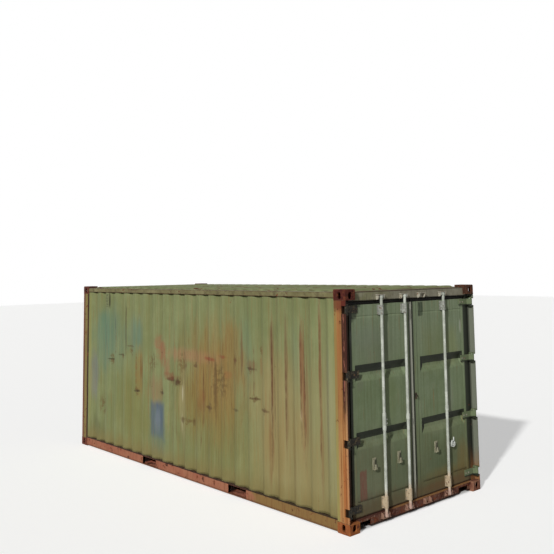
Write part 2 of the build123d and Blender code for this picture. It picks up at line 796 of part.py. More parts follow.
def lock_rod(place, side, sleeve_height, has_clevis):
    """A rod with a cam at each end, a sleeve, and the clevis of its handle if it has one."""
    nose = place + side * CAM_REACH
    with BuildPart() as rod:
        with Locations((ROD_X, place, (ROD_BOTTOM + ROD_TOP) / 2)):
            Cylinder(ROD_RADIUS, ROD_TOP - ROD_BOTTOM)
        for low_z in (ROD_BOTTOM, ROD_TOP - CAM_HEIGHT):
            with BuildSketch(Plane.XY.offset(low_z)):
                with BuildLine():
                    Polyline(
                        (ROD_X - CAM_ROOT / 2, place),
                        (ROD_X - CAM_NOSE / 2, nose),
                        (ROD_X + CAM_NOSE / 2, nose),
                        (ROD_X + CAM_ROOT / 2, place),
                        close=True,
                    )
                make_face()
                with Locations((ROD_X, place)):
                    Circle(CAM_HUB_RADIUS)
            extrude(amount=CAM_HEIGHT)
        with Locations((ROD_X, place, HUB_MIDDLE)):
            Cylinder(HUB_RADIUS, sleeve_height)
        if has_clevis:
            for low_z in (
                HUB_MIDDLE - CLEVIS_GAP / 2 - CLEVIS_EAR,
                HUB_MIDDLE + CLEVIS_GAP / 2,
            ):
                with BuildSketch(Plane.XY.offset(low_z)):
                    with Locations((ROD_X, place + side * CLEVIS_OFFSET / 2)):
                        Rectangle(2 * CLEVIS_RADIUS, CLEVIS_OFFSET)
                    with Locations((ROD_X, place + side * CLEVIS_OFFSET)):
                        Circle(CLEVIS_RADIUS)
                        Circle(CLEVIS_HOLE, mode=Mode.SUBTRACT)
                extrude(amount=CLEVIS_EAR)
    return rod.part


def cam_keepers(rod_end, away, places):
    """Two sloped ears at each cam on one back plate, closed by a shelf past the rod's end."""
    shelf_low = rod_end + away * KEEPER_END_GAP
    ear_end = shelf_low - away * KEEPER_HEIGHT
    shelf_end = shelf_low + away * KEEPER_SHELF
    face = SILL_FACE
    tip = face + KEEPER_REACH
    inner = CAM_REACH + KEEPER_GAP
    outer = inner + KEEPER_WALL
    with BuildPart() as keepers:
        for place in places:
            low_z, high_z = sorted((shelf_low, ear_end))
            box_between(
                (face, place - outer, low_z),
                (face + KEEPER_PLATE, place + outer, high_z),
            )
            low_z, high_z = sorted((shelf_low, shelf_end))
            box_between(
                (face, place - outer - KEEPER_SHELF_OVERHANG, low_z),
                (tip, place + outer + KEEPER_SHELF_OVERHANG, high_z),
            )
            for ear_y in (place - outer, place + inner):
                with BuildSketch(Plane.XZ.offset(-ear_y)):
                    with BuildLine():
                        Polyline(
                            (face, shelf_low),
                            (tip, shelf_low),
                            (tip, ear_end + away * KEEPER_SLOPE),
                            (tip - KEEPER_SLOPE, ear_end),
                            (face, ear_end),
                            close=True,
                        )
                    make_face()
                extrude(amount=-KEEPER_WALL)
    return keepers.part


def round_catch():
    """A round boss with a bored hub and a dished face, and a tongue that stands up beside it."""
    boss_place = (ROUND_CATCH_Y, ROUND_CATCH_Z)
    tongue_high = ROUND_CATCH_Y + ROUND_CATCH_RADIUS
    tongue_top = ROUND_CATCH_Z + ROUND_CATCH_RADIUS + ROUND_CATCH_TONGUE
    with BuildPart() as catch:
        with BuildSketch(Plane.YZ.offset(LEAF_FACE)):
            with Locations(boss_place):
                Circle(ROUND_CATCH_RADIUS)
        extrude(amount=ROUND_CATCH_DEPTH)
        with BuildSketch(Plane.YZ.offset(LEAF_FACE + CATCH_PLATE)):
            with Locations(boss_place):
                Circle(ROUND_CATCH_RADIUS - ROUND_CATCH_RIM)
                Circle(ROUND_CATCH_BORE + ROUND_CATCH_WALL, mode=Mode.SUBTRACT)
        extrude(amount=ROUND_CATCH_DEPTH, mode=Mode.SUBTRACT)
        with BuildSketch(Plane.YZ.offset(LEAF_FACE)):
            with Locations(boss_place):
                Circle(ROUND_CATCH_BORE)
        extrude(amount=ROUND_CATCH_DEPTH, mode=Mode.SUBTRACT)
        box_between(
            (LEAF_FACE, tongue_high - CATCH_PLATE, ROUND_CATCH_Z),
            (LEAF_FACE + ROUND_CATCH_DEPTH / 2, tongue_high, tongue_top),
        )
    return catch.part


def handle_catches(side, places):
    """Hooks on back plates, each with a flap over it, that held the handles when shut."""
    low_z = CATCH_MIDDLE - CATCH_HEIGHT / 2
    high_z = low_z + CATCH_HEIGHT
    tip = LEAF_FACE + CATCH_REACH
    with BuildPart() as catches:
        for place in places:
            box_between(
                (LEAF_FACE, place - CATCH_WIDTH / 2, low_z),
                (LEAF_FACE + CATCH_PLATE, place + CATCH_WIDTH / 2, high_z),
            )
            with BuildSketch(Plane.XZ.offset(-(place - CATCH_HOOK_WIDTH / 2))):
                with BuildLine():
                    Polyline(
                        (LEAF_FACE, low_z + CATCH_PLATE),
                        (LEAF_FACE, low_z),
                        (tip - 2 * CATCH_PLATE, low_z),
                        (tip, low_z + 2 * CATCH_PLATE),
                        (tip, low_z + CATCH_HOOK),
                        (tip - CATCH_PLATE, low_z + CATCH_HOOK),
                        (tip - CATCH_PLATE, low_z + 3 * CATCH_PLATE),
                        (tip - 3 * CATCH_PLATE, low_z + CATCH_PLATE),
                        close=True,
                    )
                    Polyline(
                        (LEAF_FACE, high_z),
                        (tip - CATCH_PLATE, high_z - CATCH_FLAP / 2),
                        (tip - CATCH_PLATE, high_z - CATCH_FLAP),
                        (tip - 2 * CATCH_PLATE, high_z - CATCH_FLAP),
                        (tip - 2 * CATCH_PLATE, high_z - CATCH_FLAP / 2),
                        (LEAF_FACE, high_z - CATCH_PLATE),
                        close=True,
                    )
                make_face()
            extrude(amount=-CATCH_HOOK_WIDTH)
    return mirrored(catches.part, side)


def side_vent(side):
    """A shallow pressed cover on one crest of the side wall, open at its foot."""
    start, stop = crest(VENT_WAVE)
    middle = (start + stop) / 2
    wall_y = SIDE_Y - SIDE_WALL_INSET
    high_z = TOP_RAIL_BOTTOM - VENT_DROP
    low_z = high_z - VENT_HEIGHT
    slope_angle = math.degrees(math.atan2(VENT_SLOPE, VENT_DEPTH))
    with BuildPart() as vent:
        with BuildSketch(Plane.XZ.offset(-wall_y)):
            with Locations((middle, (low_z + high_z) / 2)):
                Rectangle(VENT_WIDTH, VENT_HEIGHT)
        extrude(amount=-VENT_DEPTH, taper=slope_angle)
        with BuildSketch(Plane.XZ.offset(-wall_y)):
            with Locations((middle, (low_z + high_z) / 2)):
                Rectangle(VENT_WIDTH - 2 * VENT_SHEET, VENT_HEIGHT - 2 * VENT_SHEET)
        extrude(amount=-(VENT_DEPTH - VENT_SHEET), taper=slope_angle, mode=Mode.SUBTRACT)
        box_between(
            (middle - VENT_WIDTH / 2 + VENT_SLOPE + VENT_SHEET, wall_y, low_z),
            (
                middle + VENT_WIDTH / 2 - VENT_SLOPE - VENT_SHEET,
                wall_y + VENT_DEPTH - VENT_SHEET,
                low_z + VENT_SLOPE + VENT_SHEET,
            ),
            mode=Mode.SUBTRACT,
        )
    return mirrored(vent.part, side)


RODS = {
    "left_outer_lock_rod": (-ROD_OUTER_Y, 1, HUB_HEIGHT, True),
    "left_inner_lock_rod": (-ROD_INNER_Y, 1, COLLAR_HEIGHT, False),
    "right_outer_lock_rod": (ROD_OUTER_Y, -1, COLLAR_HEIGHT, False),
}
ALL_ROD_PLACES = (-ROD_OUTER_Y, -ROD_INNER_Y, ROD_INNER_Y, ROD_OUTER_Y)

for end_name, end in (("door", 1), ("front", -1)):
    for side_name, side in (("left", -1), ("right", 1)):
        save(corner_casting(end, side, False), f"{end_name}_{side_name}_bottom_casting")
        save(corner_casting(end, side, True), f"{end_name}_{side_name}_top_casting")

for side_name, side in (("left", -1), ("right", 1)):
    save(door_post(side), f"{side_name}_door_post")
    save(front_post(side), f"{side_name}_front_post")
    save(bottom_side_rail(side), f"{side_name}_bottom_rail")
    save(top_side_rail(side), f"{side_name}_top_rail")
    save(side_wall(side), f"{side_name}_wall")
    save(side_vent(side), f"{side_name}_vent")
    save(hinge_lugs(side), f"{side_name}_hinge_lugs")
    save(hinge_straps(side), f"{side_name}_hinge_straps")
    save(leaf_frame(side), f"{side_name}_door_frame")
    save(leaf_panel(side), f"{side_name}_door_panel")
    save(leaf_gasket(side), f"{side_name}_door_gasket")

save(front_bottom_rail(), "front_bottom_rail")
save(front_top_rail(), "front_top_rail")
save(front_wall(), "front_wall")
save(cross_members(), "cross_members")
save(fork_pocket(POCKET_CENTRES[0]), "front_fork_pocket")
save(fork_pocket(POCKET_CENTRES[1]), "rear_fork_pocket")
save(floor(), "floor")
save(roof(), "roof")
save(door_sill(), "door_sill")
save(door_header(), "door_header")
save(end_plate(1, SILL_FACE), "rear_roof_plate")
save(end_plate(-1, END_X - RAIL_INSET), "front_roof_plate")
save(rod_brackets(-1, (ROD_OUTER_Y, ROD_INNER_Y)), "left_rod_brackets")
save(rod_brackets(1, (ROD_OUTER_Y,)), "right_rod_brackets")
save(handle_catches(-1, CATCHES_LEFT), "left_handle_catches")
save(handle_catches(1, CATCHES_RIGHT) + round_catch(), "right_handle_catches")
save(cam_keepers(ROD_BOTTOM, -1, ALL_ROD_PLACES), "sill_keepers")
save(cam_keepers(ROD_TOP, 1, ALL_ROD_PLACES), "header_keepers")
for name, (place, side, sleeve_height, has_clevis) in RODS.items():
    save(lock_rod(place, side, sleeve_height, has_clevis), name)
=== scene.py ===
"""Looks for a weathered twenty-foot freight container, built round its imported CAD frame.

X runs along the container with the doors at +X, Y runs across it and Z is up, in metres.
Run as a script. It is laid out as an add-on: sizes and colours are properties, each group of
pieces is an operator, and a panel in the 3D view's sidebar lists them.
"""

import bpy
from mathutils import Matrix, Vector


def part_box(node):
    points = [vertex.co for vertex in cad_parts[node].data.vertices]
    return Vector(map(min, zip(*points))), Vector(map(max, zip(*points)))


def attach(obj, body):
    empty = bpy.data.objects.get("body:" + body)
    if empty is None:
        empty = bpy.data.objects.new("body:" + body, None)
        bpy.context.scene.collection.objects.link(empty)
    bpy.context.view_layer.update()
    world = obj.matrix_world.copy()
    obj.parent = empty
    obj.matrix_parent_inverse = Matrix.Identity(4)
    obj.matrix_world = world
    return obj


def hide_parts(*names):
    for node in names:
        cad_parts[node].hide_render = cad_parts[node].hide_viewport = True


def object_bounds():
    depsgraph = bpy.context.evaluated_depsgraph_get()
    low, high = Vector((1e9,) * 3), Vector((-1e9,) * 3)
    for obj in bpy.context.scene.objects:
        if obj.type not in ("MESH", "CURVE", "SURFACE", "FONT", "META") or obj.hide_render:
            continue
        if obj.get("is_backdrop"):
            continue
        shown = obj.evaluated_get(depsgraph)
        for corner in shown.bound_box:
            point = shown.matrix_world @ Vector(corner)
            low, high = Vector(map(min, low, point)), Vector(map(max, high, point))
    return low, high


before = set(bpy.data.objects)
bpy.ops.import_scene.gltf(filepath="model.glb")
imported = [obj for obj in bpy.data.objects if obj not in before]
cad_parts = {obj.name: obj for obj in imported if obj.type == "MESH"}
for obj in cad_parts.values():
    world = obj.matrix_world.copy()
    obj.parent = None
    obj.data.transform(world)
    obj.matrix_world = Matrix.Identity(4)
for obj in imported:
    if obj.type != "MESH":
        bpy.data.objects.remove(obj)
CAD_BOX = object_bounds()

import inspect
import math

import bmesh
import bpy
import numpy as np
from bpy.props import FloatProperty, FloatVectorProperty, PointerProperty
from mathutils import Matrix

bl_info = {
    "name": "Freight container looks",
    "version": (1, 0, 0),
    "blender": (4, 5, 0),
    "location": "3D View > Sidebar > Container",
    "description": "Builds the sheets, fittings and finishes of a weathered freight container",
    "category": "Object",
}

PHOTO_WIDTH = 554
SIDES = {"left": -1, "right": 1}
UP = (0, 0, 1)
OUT = (1, 0, 0)


def rgb(code):
    """A colour written as 0xRRGGBB, as linear red, green and blue."""
    parts = [((code >> shift) & 255) / 255 for shift in (16, 8, 0)]
    return tuple(p / 12.92 if p <= 0.04045 else ((p + 0.055) / 1.055) ** 2.4 for p in parts)


def tone(colour):
    """A colour with its alpha, from 0xRRGGBB or a setting; a socket stays as it is."""
    if isinstance(colour, bpy.types.NodeSocket):
        return colour
    return (*(rgb(colour) if isinstance(colour, int) else colour), 1.0)


def mm(value):
    """Millimetres as metres."""
    return value / 1000


def settings(name):
    """A group of the add-on's settings: looks, sizes or stage."""
    return getattr(bpy.context.scene, "container_" + name)


def corners(node):
    """The low and high corner of a CAD node's box."""
    return [np.array(corner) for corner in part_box(node)]


def number(name, default, description, **more):
    """A number that a user can change."""
    return FloatProperty(name=name, default=default, description=description, **more)


def length(name, default, description):
    """A length in metres that a user can change."""
    return number(name, default, description, min=0.0, unit="LENGTH", precision=4)


def numbers(name, default, description, **more):
    """Several numbers that belong together."""
    more["size"] = len(default)
    return FloatVectorProperty(name=name, default=default, description=description, **more)


def colour(name, code, description):
    """A colour that a user can change, with its default given as 0xRRGGBB."""
    return numbers(name, rgb(code), description, subtype="COLOR", min=0.0, max=1.0)


# Meshes worked out with numpy


class Shape:
    """Points and quads gathered from several grids, then written as one mesh."""

    def __init__(self):
        self.points, self.quads, self.marks, self.finishes, self.smooth = [], [], [], [], []
        self.count = 0

    def grid(self, points, close_u=False, finish=0, smooth=True, marks=None):
        """Adds rows of points joined into quads; each row is a closed ring, and the rows may be too."""
        size = points.shape[0] * points.shape[1]
        index = np.arange(size).reshape(points.shape[:2]) + self.count
        down = np.roll(index, -1, 0) if close_u else index[1:]
        along = index if close_u else index[:-1]
        right, down_right = np.roll(along, -1, 1), np.roll(down, -1, 1)
        quads = np.stack([along, right, down_right, down], -1)
        self.points.append(points.reshape(-1, 3))
        self.marks.append((size, marks or {}))
        self.count += size
        self.faces(quads.reshape(-1, 4), finish, smooth)
        return index

    def faces(self, quads, finish=0, smooth=False):
        """Adds quads between points that are already there."""
        self.quads.append(np.asarray(quads))
        self.finishes.append(np.full(len(quads), finish))
        self.smooth.append(np.full(len(quads), smooth))

    def piece(self, name, body, finishes, replaced=None):
        """Writes the mesh, closes its seams and poles, and makes it ride on a body."""
        points = np.concatenate(self.points).astype(np.float32)
        quads = np.concatenate(self.quads).astype(np.int32)
        mesh = bpy.data.meshes.new(name)
        mesh.vertices.add(len(points))
        mesh.vertices.foreach_set("co", points.ravel())
        mesh.loops.add(quads.size)
        mesh.loops.foreach_set("vertex_index", quads.ravel())
        mesh.polygons.add(len(quads))
        mesh.polygons.foreach_set("loop_start", np.arange(0, quads.size, 4, dtype=np.int32))
        for finish in finishes:
            mesh.materials.append(finish)
        mesh.polygons.foreach_set("material_index", np.concatenate(self.finishes).astype(np.int32))
        mesh.polygons.foreach_set("use_smooth", np.concatenate(self.smooth))
        mesh.update(calc_edges=True)
        for label in sorted({label for _, marks in self.marks for label in marks}):
            values = [np.ravel(marks.get(label, np.zeros(size))) for size, marks in self.marks]
            attribute = mesh.attributes.new(label, "FLOAT", "POINT")
            attribute.data.foreach_set("value", np.concatenate(values).astype(np.float32))
        close_seams(mesh)
        made = bpy.data.objects.new(name, mesh)
        bpy.context.scene.collection.objects.link(made)
        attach(made, body)
        if replaced:
            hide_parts(replaced)


def close_seams(mesh, apart=1e-6):
    """Merges points that lie together, drops what that flattens and turns the faces outwards."""
    work = bmesh.new()
    work.from_mesh(mesh)
    bmesh.ops.remove_doubles(work, verts=work.verts, dist=apart)
    bmesh.ops.recalc_face_normals(work, faces=work.faces)
    work.to_mesh(mesh)
    work.free()


def bent_sheet(face, back, marks, inner=1, smooth=True):
    """A sheet from two grids of points: each row of both is a closed loop, and strips close the ends.

    The back's quads start one corner on, so that both faces are cut along the same diagonals.
    The marks hold a value for each point of the face, which the point behind it gets too.
    """
    sheet = Shape()
    rows, half = face.shape[:2]
    columns = 2 * half
    marks = {label: np.concatenate([values, values[:, ::-1]], 1) for label, values in marks.items()}
    index = sheet.grid(np.concatenate([face, back[:, ::-1]], 1), smooth=smooth, marks=marks)
    quads = sheet.quads[-1].reshape(rows - 1, columns, 4)
    quads[:, half:] = np.roll(quads[:, half:], 1, axis=-1)
    sheet.finishes[-1] = np.tile(np.repeat([0, inner], half), rows - 1)
    outer = np.arange(half - 1)
    behind = columns - 1 - outer
    first, last = index[0], index[-1]
    sheet.faces(np.stack([first[outer + 1], first[outer], first[behind], first[behind - 1]], -1))
    sheet.faces(np.stack([last[outer], last[outer + 1], last[behind - 1], last[behind]], -1))
    return sheet


def lids(shape, index, quads, order, finish=0):
    """Closes the first and the last ring of a grid with quads between their points."""
    for row, turn in ((index[0], order), (index[-1], -order)):
        shape.faces(row[np.array(quads)][:, ::turn], finish)


def slab(shape, low, high, bevel, finish=0):
    """A box with bevelled edges: four rings round Z, the end rings set in by the bevel, and two lids."""
    (x0, y0, z0), (x1, y1, z1) = low, high

    def ring(inset, cut, z):
        a, b, c, d = x0 + inset, x1 - inset, y0 + inset, y1 - inset
        return [
            (a + cut, c, z), (b - cut, c, z), (b, c + cut, z), (b, d - cut, z),
            (b - cut, d, z), (a + cut, d, z), (a, d - cut, z), (a, c + cut, z),
        ]

    rings = np.array([
        ring(bevel, bevel * 0.6, z0), ring(0, bevel, z0 + bevel),
        ring(0, bevel, z1 - bevel), ring(bevel, bevel * 0.6, z1),
    ])
    index = shape.grid(rings, finish=finish, smooth=False)
    lids(shape, index, [[0, 1, 2, 7], [7, 2, 3, 6], [6, 3, 4, 5]], -1, finish)


def turned(shape, profile, places, axis, sides=12, finish=0, smooth=True):
    """Solids of revolution: a profile of (radius, height) turned round an axis at each place.

    A point is place + radius * (cos t * u + sin t * v) + height * axis, with u and v square to it.
    """
    axis = np.array(axis, float)
    u = np.cross(UP if abs(axis[2]) < 0.9 else OUT, axis)
    v = np.cross(axis, u)
    turns = np.linspace(0, 2 * np.pi, sides, endpoint=False)
    around = np.cos(turns)[:, None] * u + np.sin(turns)[:, None] * v
    profile = np.array(profile, float)
    rings = profile[:, 0][:, None, None] * around[None] + profile[:, 1][:, None, None] * axis
    for place in places:
        shape.grid(rings + np.array(place, float), finish=finish, smooth=smooth)


def bolt_heads(shape, places, axis, radius, height):
    """Six-sided bolt heads on washers with a domed top."""
    washer = [(0.0, 0.0), (radius * 1.45, 0.0), (radius * 1.45, height * 0.22), (radius, height * 0.22)]
    head = [(radius, height * 0.85), (radius * 0.8, height), (0.0, height * 1.02)]
    turned(shape, washer + head, places, axis, sides=6, smooth=False)


def rivet_heads(shape, places, axis, radius, finish=0):
    """Round button heads: a quarter circle turned about the rivet's axis."""
    rise = np.linspace(0, np.pi / 2, 4)
    profile = np.stack([np.cos(rise) * radius, np.sin(rise) * radius * 0.6], -1)
    turned(shape, np.concatenate([[(0.0, 0.0)], profile]), places, axis, sides=8, finish=finish)


def bead(shape, path, radius, up):
    """A weld bead: a six-point round carried along a path, swelling a little along its length.

    A point is path + r * (cos t * side + sin t * up), with r = radius * (1 + 0.18 sin(90 s)
    + 0.08 sin(37 s)) and s the way along the path.
    """
    ahead = np.gradient(path, axis=0)
    ahead /= np.maximum(np.linalg.norm(ahead, axis=1, keepdims=True), 1e-9)
    up = np.broadcast_to(np.array(up, float), path.shape)
    side = np.cross(ahead, up)
    side /= np.maximum(np.linalg.norm(side, axis=1, keepdims=True), 1e-9)
    run = np.concatenate([[0], np.cumsum(np.linalg.norm(np.diff(path, axis=0), axis=1))])
    swell = radius * (1 + 0.18 * np.sin(run * 90.0) + 0.08 * np.sin(run * 37.0))
    turns = np.linspace(0, 2 * np.pi, 6, endpoint=False)[None, :, None]
    around = np.cos(turns) * side[:, None] + np.sin(turns) * up[:, None]
    index = shape.grid(path[:, None] + swell[:, None, None] * around)
    lids(shape, index, [[0, 1, 2, 3], [0, 3, 4, 5]], 1)


def seam(shape, x, y, z, radius, up=UP):
    """A bead along a path whose three coordinates are numbers or rows of numbers."""
    bead(shape, np.stack(np.broadcast_arrays(x, y, z), -1).astype(float), radius, up)


# Pressed sheets


def sorted_places(*parts):
    """Places gathered from several lists, in order and each once."""
    return np.unique(np.round(np.concatenate([np.ravel(part) for part in parts]), 5))


def rounded(wave, x, width):
    """A wave averaged over a short width, which rounds its bends."""
    steps = np.linspace(-width / 2, width / 2, 9)
    return np.mean([wave(x + step) for step in steps], axis=0)


def pressed_wave(start, stop, flat, slope, pitch, bend):
    """Places along a trapezoid wave, and its depth there, from 0 on a crest to 1 in a valley.

    There are four places at each bend and two on each flat and slope between them.
    """
    count = int((stop - start - flat) // pitch)
    margin = (stop - start - count * pitch - flat) / 2
    bends = np.array([0, flat, flat + slope, pitch - slope])
    bends = (bends[None] + pitch * np.arange(-1, count + 2)[:, None]).ravel() + start + margin
    near = bends[:, None] + np.array([-0.5, -0.17, 0.17, 0.5]) * bend
    between = bends[:-1, None] + np.diff(bends)[:, None] * np.array([1 / 3, 2 / 3])
    places = np.concatenate([near.ravel(), between.ravel(), [start, stop]])
    x = sorted_places(places[(places >= start) & (places <= stop)])

    def wave(at):
        place = at - start - margin
        phase = np.mod(place, pitch)
        depth = np.minimum(np.clip((phase - flat) / slope, 0, 1), np.clip((pitch - phase) / slope, 0, 1))
        return np.where((place < 0) | (place > count * pitch + flat), 0, depth)

    return x, rounded(wave, x, bend)


def smooth_ramp(value, low, high):
    """0 below low, 1 above high and a smooth rise between them."""
    step = np.clip((value - low) / (high - low), 0, 1)
    return step * step * (3 - 2 * step)


def faded_edge(place, start, stop, reach):
    """1 inside a stretch and 0 at its two ends, with a smooth change over a reach."""
    return smooth_ramp(np.minimum(place - start, stop - place), 0, reach)


# How far past its ends a fold fades, in metres
FOLD_END = 0.06


def bumps(across, up, marks):
    """Sum of round dents: each is depth * exp(-(u / width)^2 - (v / height)^2)."""
    total = np.zeros(across.shape)
    for middle, height, half_width, half_height, depth in marks:
        u = (across - mm(middle)) / mm(half_width)
        v = (up - mm(height)) / mm(half_height)
        total += mm(depth) * np.exp(-u * u - v * v)
    return total


def creases(across, up, marks):
    """Sum of long thin folds: flat along their length, with a sharp fall beside it and soft ends."""
    total = np.zeros(across.shape)
    for start, low, stop, high, half_width, depth in marks:
        run = np.array([mm(stop - start), mm(high - low)])
        reach = np.linalg.norm(run)
        run /= reach
        u, v = across - mm(start), up - mm(low)
        along = u * run[0] + v * run[1]
        beside = u * run[1] - v * run[0]
        ends = np.clip(np.minimum(along, reach - along) / FOLD_END + 1, 0, 1)
        total += mm(depth) * np.exp(-np.abs(beside) / mm(half_width)) * ends
    return total


def ripple(across, up, size, seed):
    """A slow buckle of thin sheet: five sines of unrelated lengths, between about -1 and 1."""
    total = 0.0
    for step in range(5):
        turn = seed + 1.7 * step
        along = across * math.cos(turn) + up * math.sin(turn)
        total = total + np.sin(along * 2 * math.pi / (size * (0.6 + 0.37 * step)) + turn * 3)
    return total / 5


# Shader node groups for effects that several finishes share


class Nodes:
    """A node tree being written, with short names for the nodes that are used most."""

    def __init__(self, tree):
        self.tree = tree

    def add(self, kind, values=None, **options):
        """Adds a shader node with its options; an input's value may be a socket, which is linked."""
        made = self.tree.nodes.new("ShaderNode" + kind)
        for key, value in options.items():
            setattr(made, key, value)
        for key, value in (values or {}).items():
            if isinstance(value, bpy.types.NodeSocket):
                self.tree.links.new(value, made.inputs[key])
            else:
                made.inputs[key].default_value = value
        return made

    def maths(self, operation, first, second):
        """One step of arithmetic on two values or sockets."""
        return self.add("Math", {0: first, 1: second}, operation=operation).outputs[0]

    def times(self, first, second):
        """A product."""
        return self.maths("MULTIPLY", first, second)

    def plus(self, first, second):
        """A sum."""
        return self.maths("ADD", first, second)

    def rest(self, value):
        """What a share leaves of 1."""
        return self.maths("SUBTRACT", 1.0, value)

    def vector(self, operation, first, second=(0, 0, 0)):
        """One step of arithmetic on two vectors."""
        made = self.add("VectorMath", {0: first, 1: second}, operation=operation)
        return made.outputs["Value" if operation == "LENGTH" else "Vector"]

    def parted(self, vector):
        """The X, Y and Z of a vector."""
        return self.add("SeparateXYZ", {0: vector}).outputs

    def smooth(self, value, low, high):
        """0 below low, 1 above high and a smooth rise between them."""
        values = {"Value": value, "From Min": low, "From Max": high}
        return self.add("MapRange", values, interpolation_type="SMOOTHSTEP", clamp=True).outputs["Result"]

    def edge(self, value, threshold, softness):
        """A smooth rise from 0 to 1 about a threshold."""
        low = self.maths("SUBTRACT", threshold, softness)
        return self.smooth(value, low, self.plus(threshold, softness))

    def mix(self, share, first, second):
        """A mixture of two colours."""
        return self.add("Mix", {0: share, 6: first, 7: second}, data_type="RGBA").outputs[2]

    def blend(self, share, first, second):
        """A mixture of two values."""
        return self.add("Mix", {0: share, 2: first, 3: second}, data_type="FLOAT").outputs[0]

    def noise(self, place, scale, detail, roughness, seed=None, **more):
        """Cloudy noise between 0 and 1; a seed takes it from another place."""
        values = {"Vector": place, "Scale": scale, "Detail": detail, "Roughness": roughness, **more}
        if seed is None:
            return self.add("TexNoise", values).outputs["Fac"]
        return self.add("TexNoise", {**values, "W": seed}, noise_dimensions="4D").outputs["Fac"]

    def push(self, place, grain, detail, roughness, amount):
        """Noise about 0 times an amount."""
        noise = self.noise(place, grain, detail, roughness)
        return self.times(self.maths("SUBTRACT", noise, 0.5), amount)

    def seen(self):
        """1 for what the camera sees, also in a mirror or through glass, and 0 for bounced light."""
        path = self.add("LightPath").outputs
        mirrored = self.maths("MAXIMUM", path["Is Glossy Ray"], path["Is Transmission Ray"])
        return self.maths("MAXIMUM", path["Is Camera Ray"], mirrored)


def streaks(made, position, width, run, threshold, softness, seed):
    """Upright streaks: noise squeezed by a width across and stretched by a run along Z."""
    across = made.maths("DIVIDE", 1.0, width)
    along = made.maths("DIVIDE", 1.0, run)
    scale = made.add("CombineXYZ", {"X": across, "Y": across, "Z": along}).outputs[0]
    noise = made.noise(made.vector("MULTIPLY", position, scale), 1.0, 4.0, 0.62, seed)
    return made.edge(noise, threshold, softness)


def blotches(made, position, size, threshold, softness, seed):
    """Ragged patches: fine noise above a threshold, with a soft or hard edge."""
    noise = made.noise(position, made.maths("DIVIDE", 1.0, size), 9.0, 0.64, seed, Distortion=0.25)
    return made.edge(noise, threshold, softness)


def shift(made, position, grain, stretch, amount):
    """A ragged push for the borders of stains: noise about 0, stretched along Z, times an amount."""
    scale = made.add("CombineXYZ", {"X": 1.0, "Y": 1.0, "Z": stretch}).outputs[0]
    return made.push(made.vector("MULTIPLY", position, scale), grain, 7.0, 0.62, amount)


def stain(made, position, centre, half_size, moved, edge, square):
    """A stain at one place: an ellipse or a box, whose border a shift makes ragged."""
    apart = made.vector("DIVIDE", made.vector("SUBTRACT", position, centre), half_size)
    apart = made.vector("ABSOLUTE", apart)
    parts = made.parted(apart)
    square_way = made.maths("MAXIMUM", made.maths("MAXIMUM", parts["X"], parts["Y"]), parts["Z"])
    way = made.plus(made.blend(square, made.vector("LENGTH", apart), square_way), moved)
    return made.rest(made.edge(way, 1.0, edge))


def rising_dirt(made, position, low, high, ragged, grain):
    """A band between two heights: full below the low one, none above the high one, with a ragged border."""
    squeezed = made.vector("MULTIPLY", position, (1.0, 1.0, 0.25))
    push = made.push(squeezed, grain, 6.0, 0.65, made.times(ragged, 4.0))
    return made.rest(made.smooth(made.plus(made.parted(position)["Z"], push), low, high))


def box_wear(made, position, low_corner, high_corner, width, ragged, grain):
    """Wear on a box's edges: where the second smallest of the distances to its faces is small."""
    from_low = made.vector("SUBTRACT", position, low_corner)
    from_high = made.vector("SUBTRACT", high_corner, position)
    near = made.parted(made.vector("MINIMUM", from_low, from_high))
    smaller = made.maths("MINIMUM", near["X"], near["Y"])
    larger = made.maths("MAXIMUM", near["X"], near["Y"])
    second = made.maths("MAXIMUM", smaller, made.maths("MINIMUM", larger, near["Z"]))
    push = made.times(made.push(position, grain, 6.0, 0.65, ragged), 6.0)
    return made.rest(made.smooth(made.plus(made.maths("DIVIDE", second, width), push), 0.4, 1.2))


def rust(made, position, grain, dark, middle, bright):
    """Rust: three browns mixed by two noises."""
    coarse = made.noise(position, made.times(grain, 0.3), 8.0, 0.62)
    fine = made.noise(position, made.times(grain, 2.2), 7.0, 0.7)
    first = made.mix(made.smooth(coarse, 0.38, 0.6), dark, middle)
    return made.mix(made.smooth(fine, 0.52, 0.7), first, bright)


SOCKET_KINDS = {
    "position": "Vector", "centre": "Vector", "half_size": "Vector", "low_corner": "Vector",
    "high_corner": "Vector", "dark": "Color", "middle": "Color", "bright": "Color", "rust": "Color",
}
SHARED = {}


def shared_group(effect):
    """The node group of an effect, made the first time that it is asked for.

    The parameters of the effect's function are the group's inputs, and what it returns is its output.
    """
    if effect not in SHARED:
        name = effect.__name__
        tree = SHARED[effect] = bpy.data.node_groups.new(name, "ShaderNodeTree")
        labels = list(inspect.signature(effect).parameters)[1:]
        for label in (*labels, name):
            tree.interface.new_socket(
                name=label, in_out="OUTPUT" if label == name else "INPUT",
                socket_type="NodeSocket" + SOCKET_KINDS.get(label, "Float"),
            )
        given = tree.nodes.new("NodeGroupInput").outputs
        result = effect(Nodes(tree), *(given[label] for label in labels))
        tree.links.new(result, tree.nodes.new("NodeGroupOutput").inputs[0])
    return SHARED[effect]


# Values that all the finishes share
RUST_GRAIN = 26.0
WEAR_GRAIN, WEAR_RAGGED = 22.0, 0.6
DIRT_ROUGH, RUST_ROUGH, WEAR_ROUGH = 0.92, 0.88, 0.86
SPECULAR = 0.2


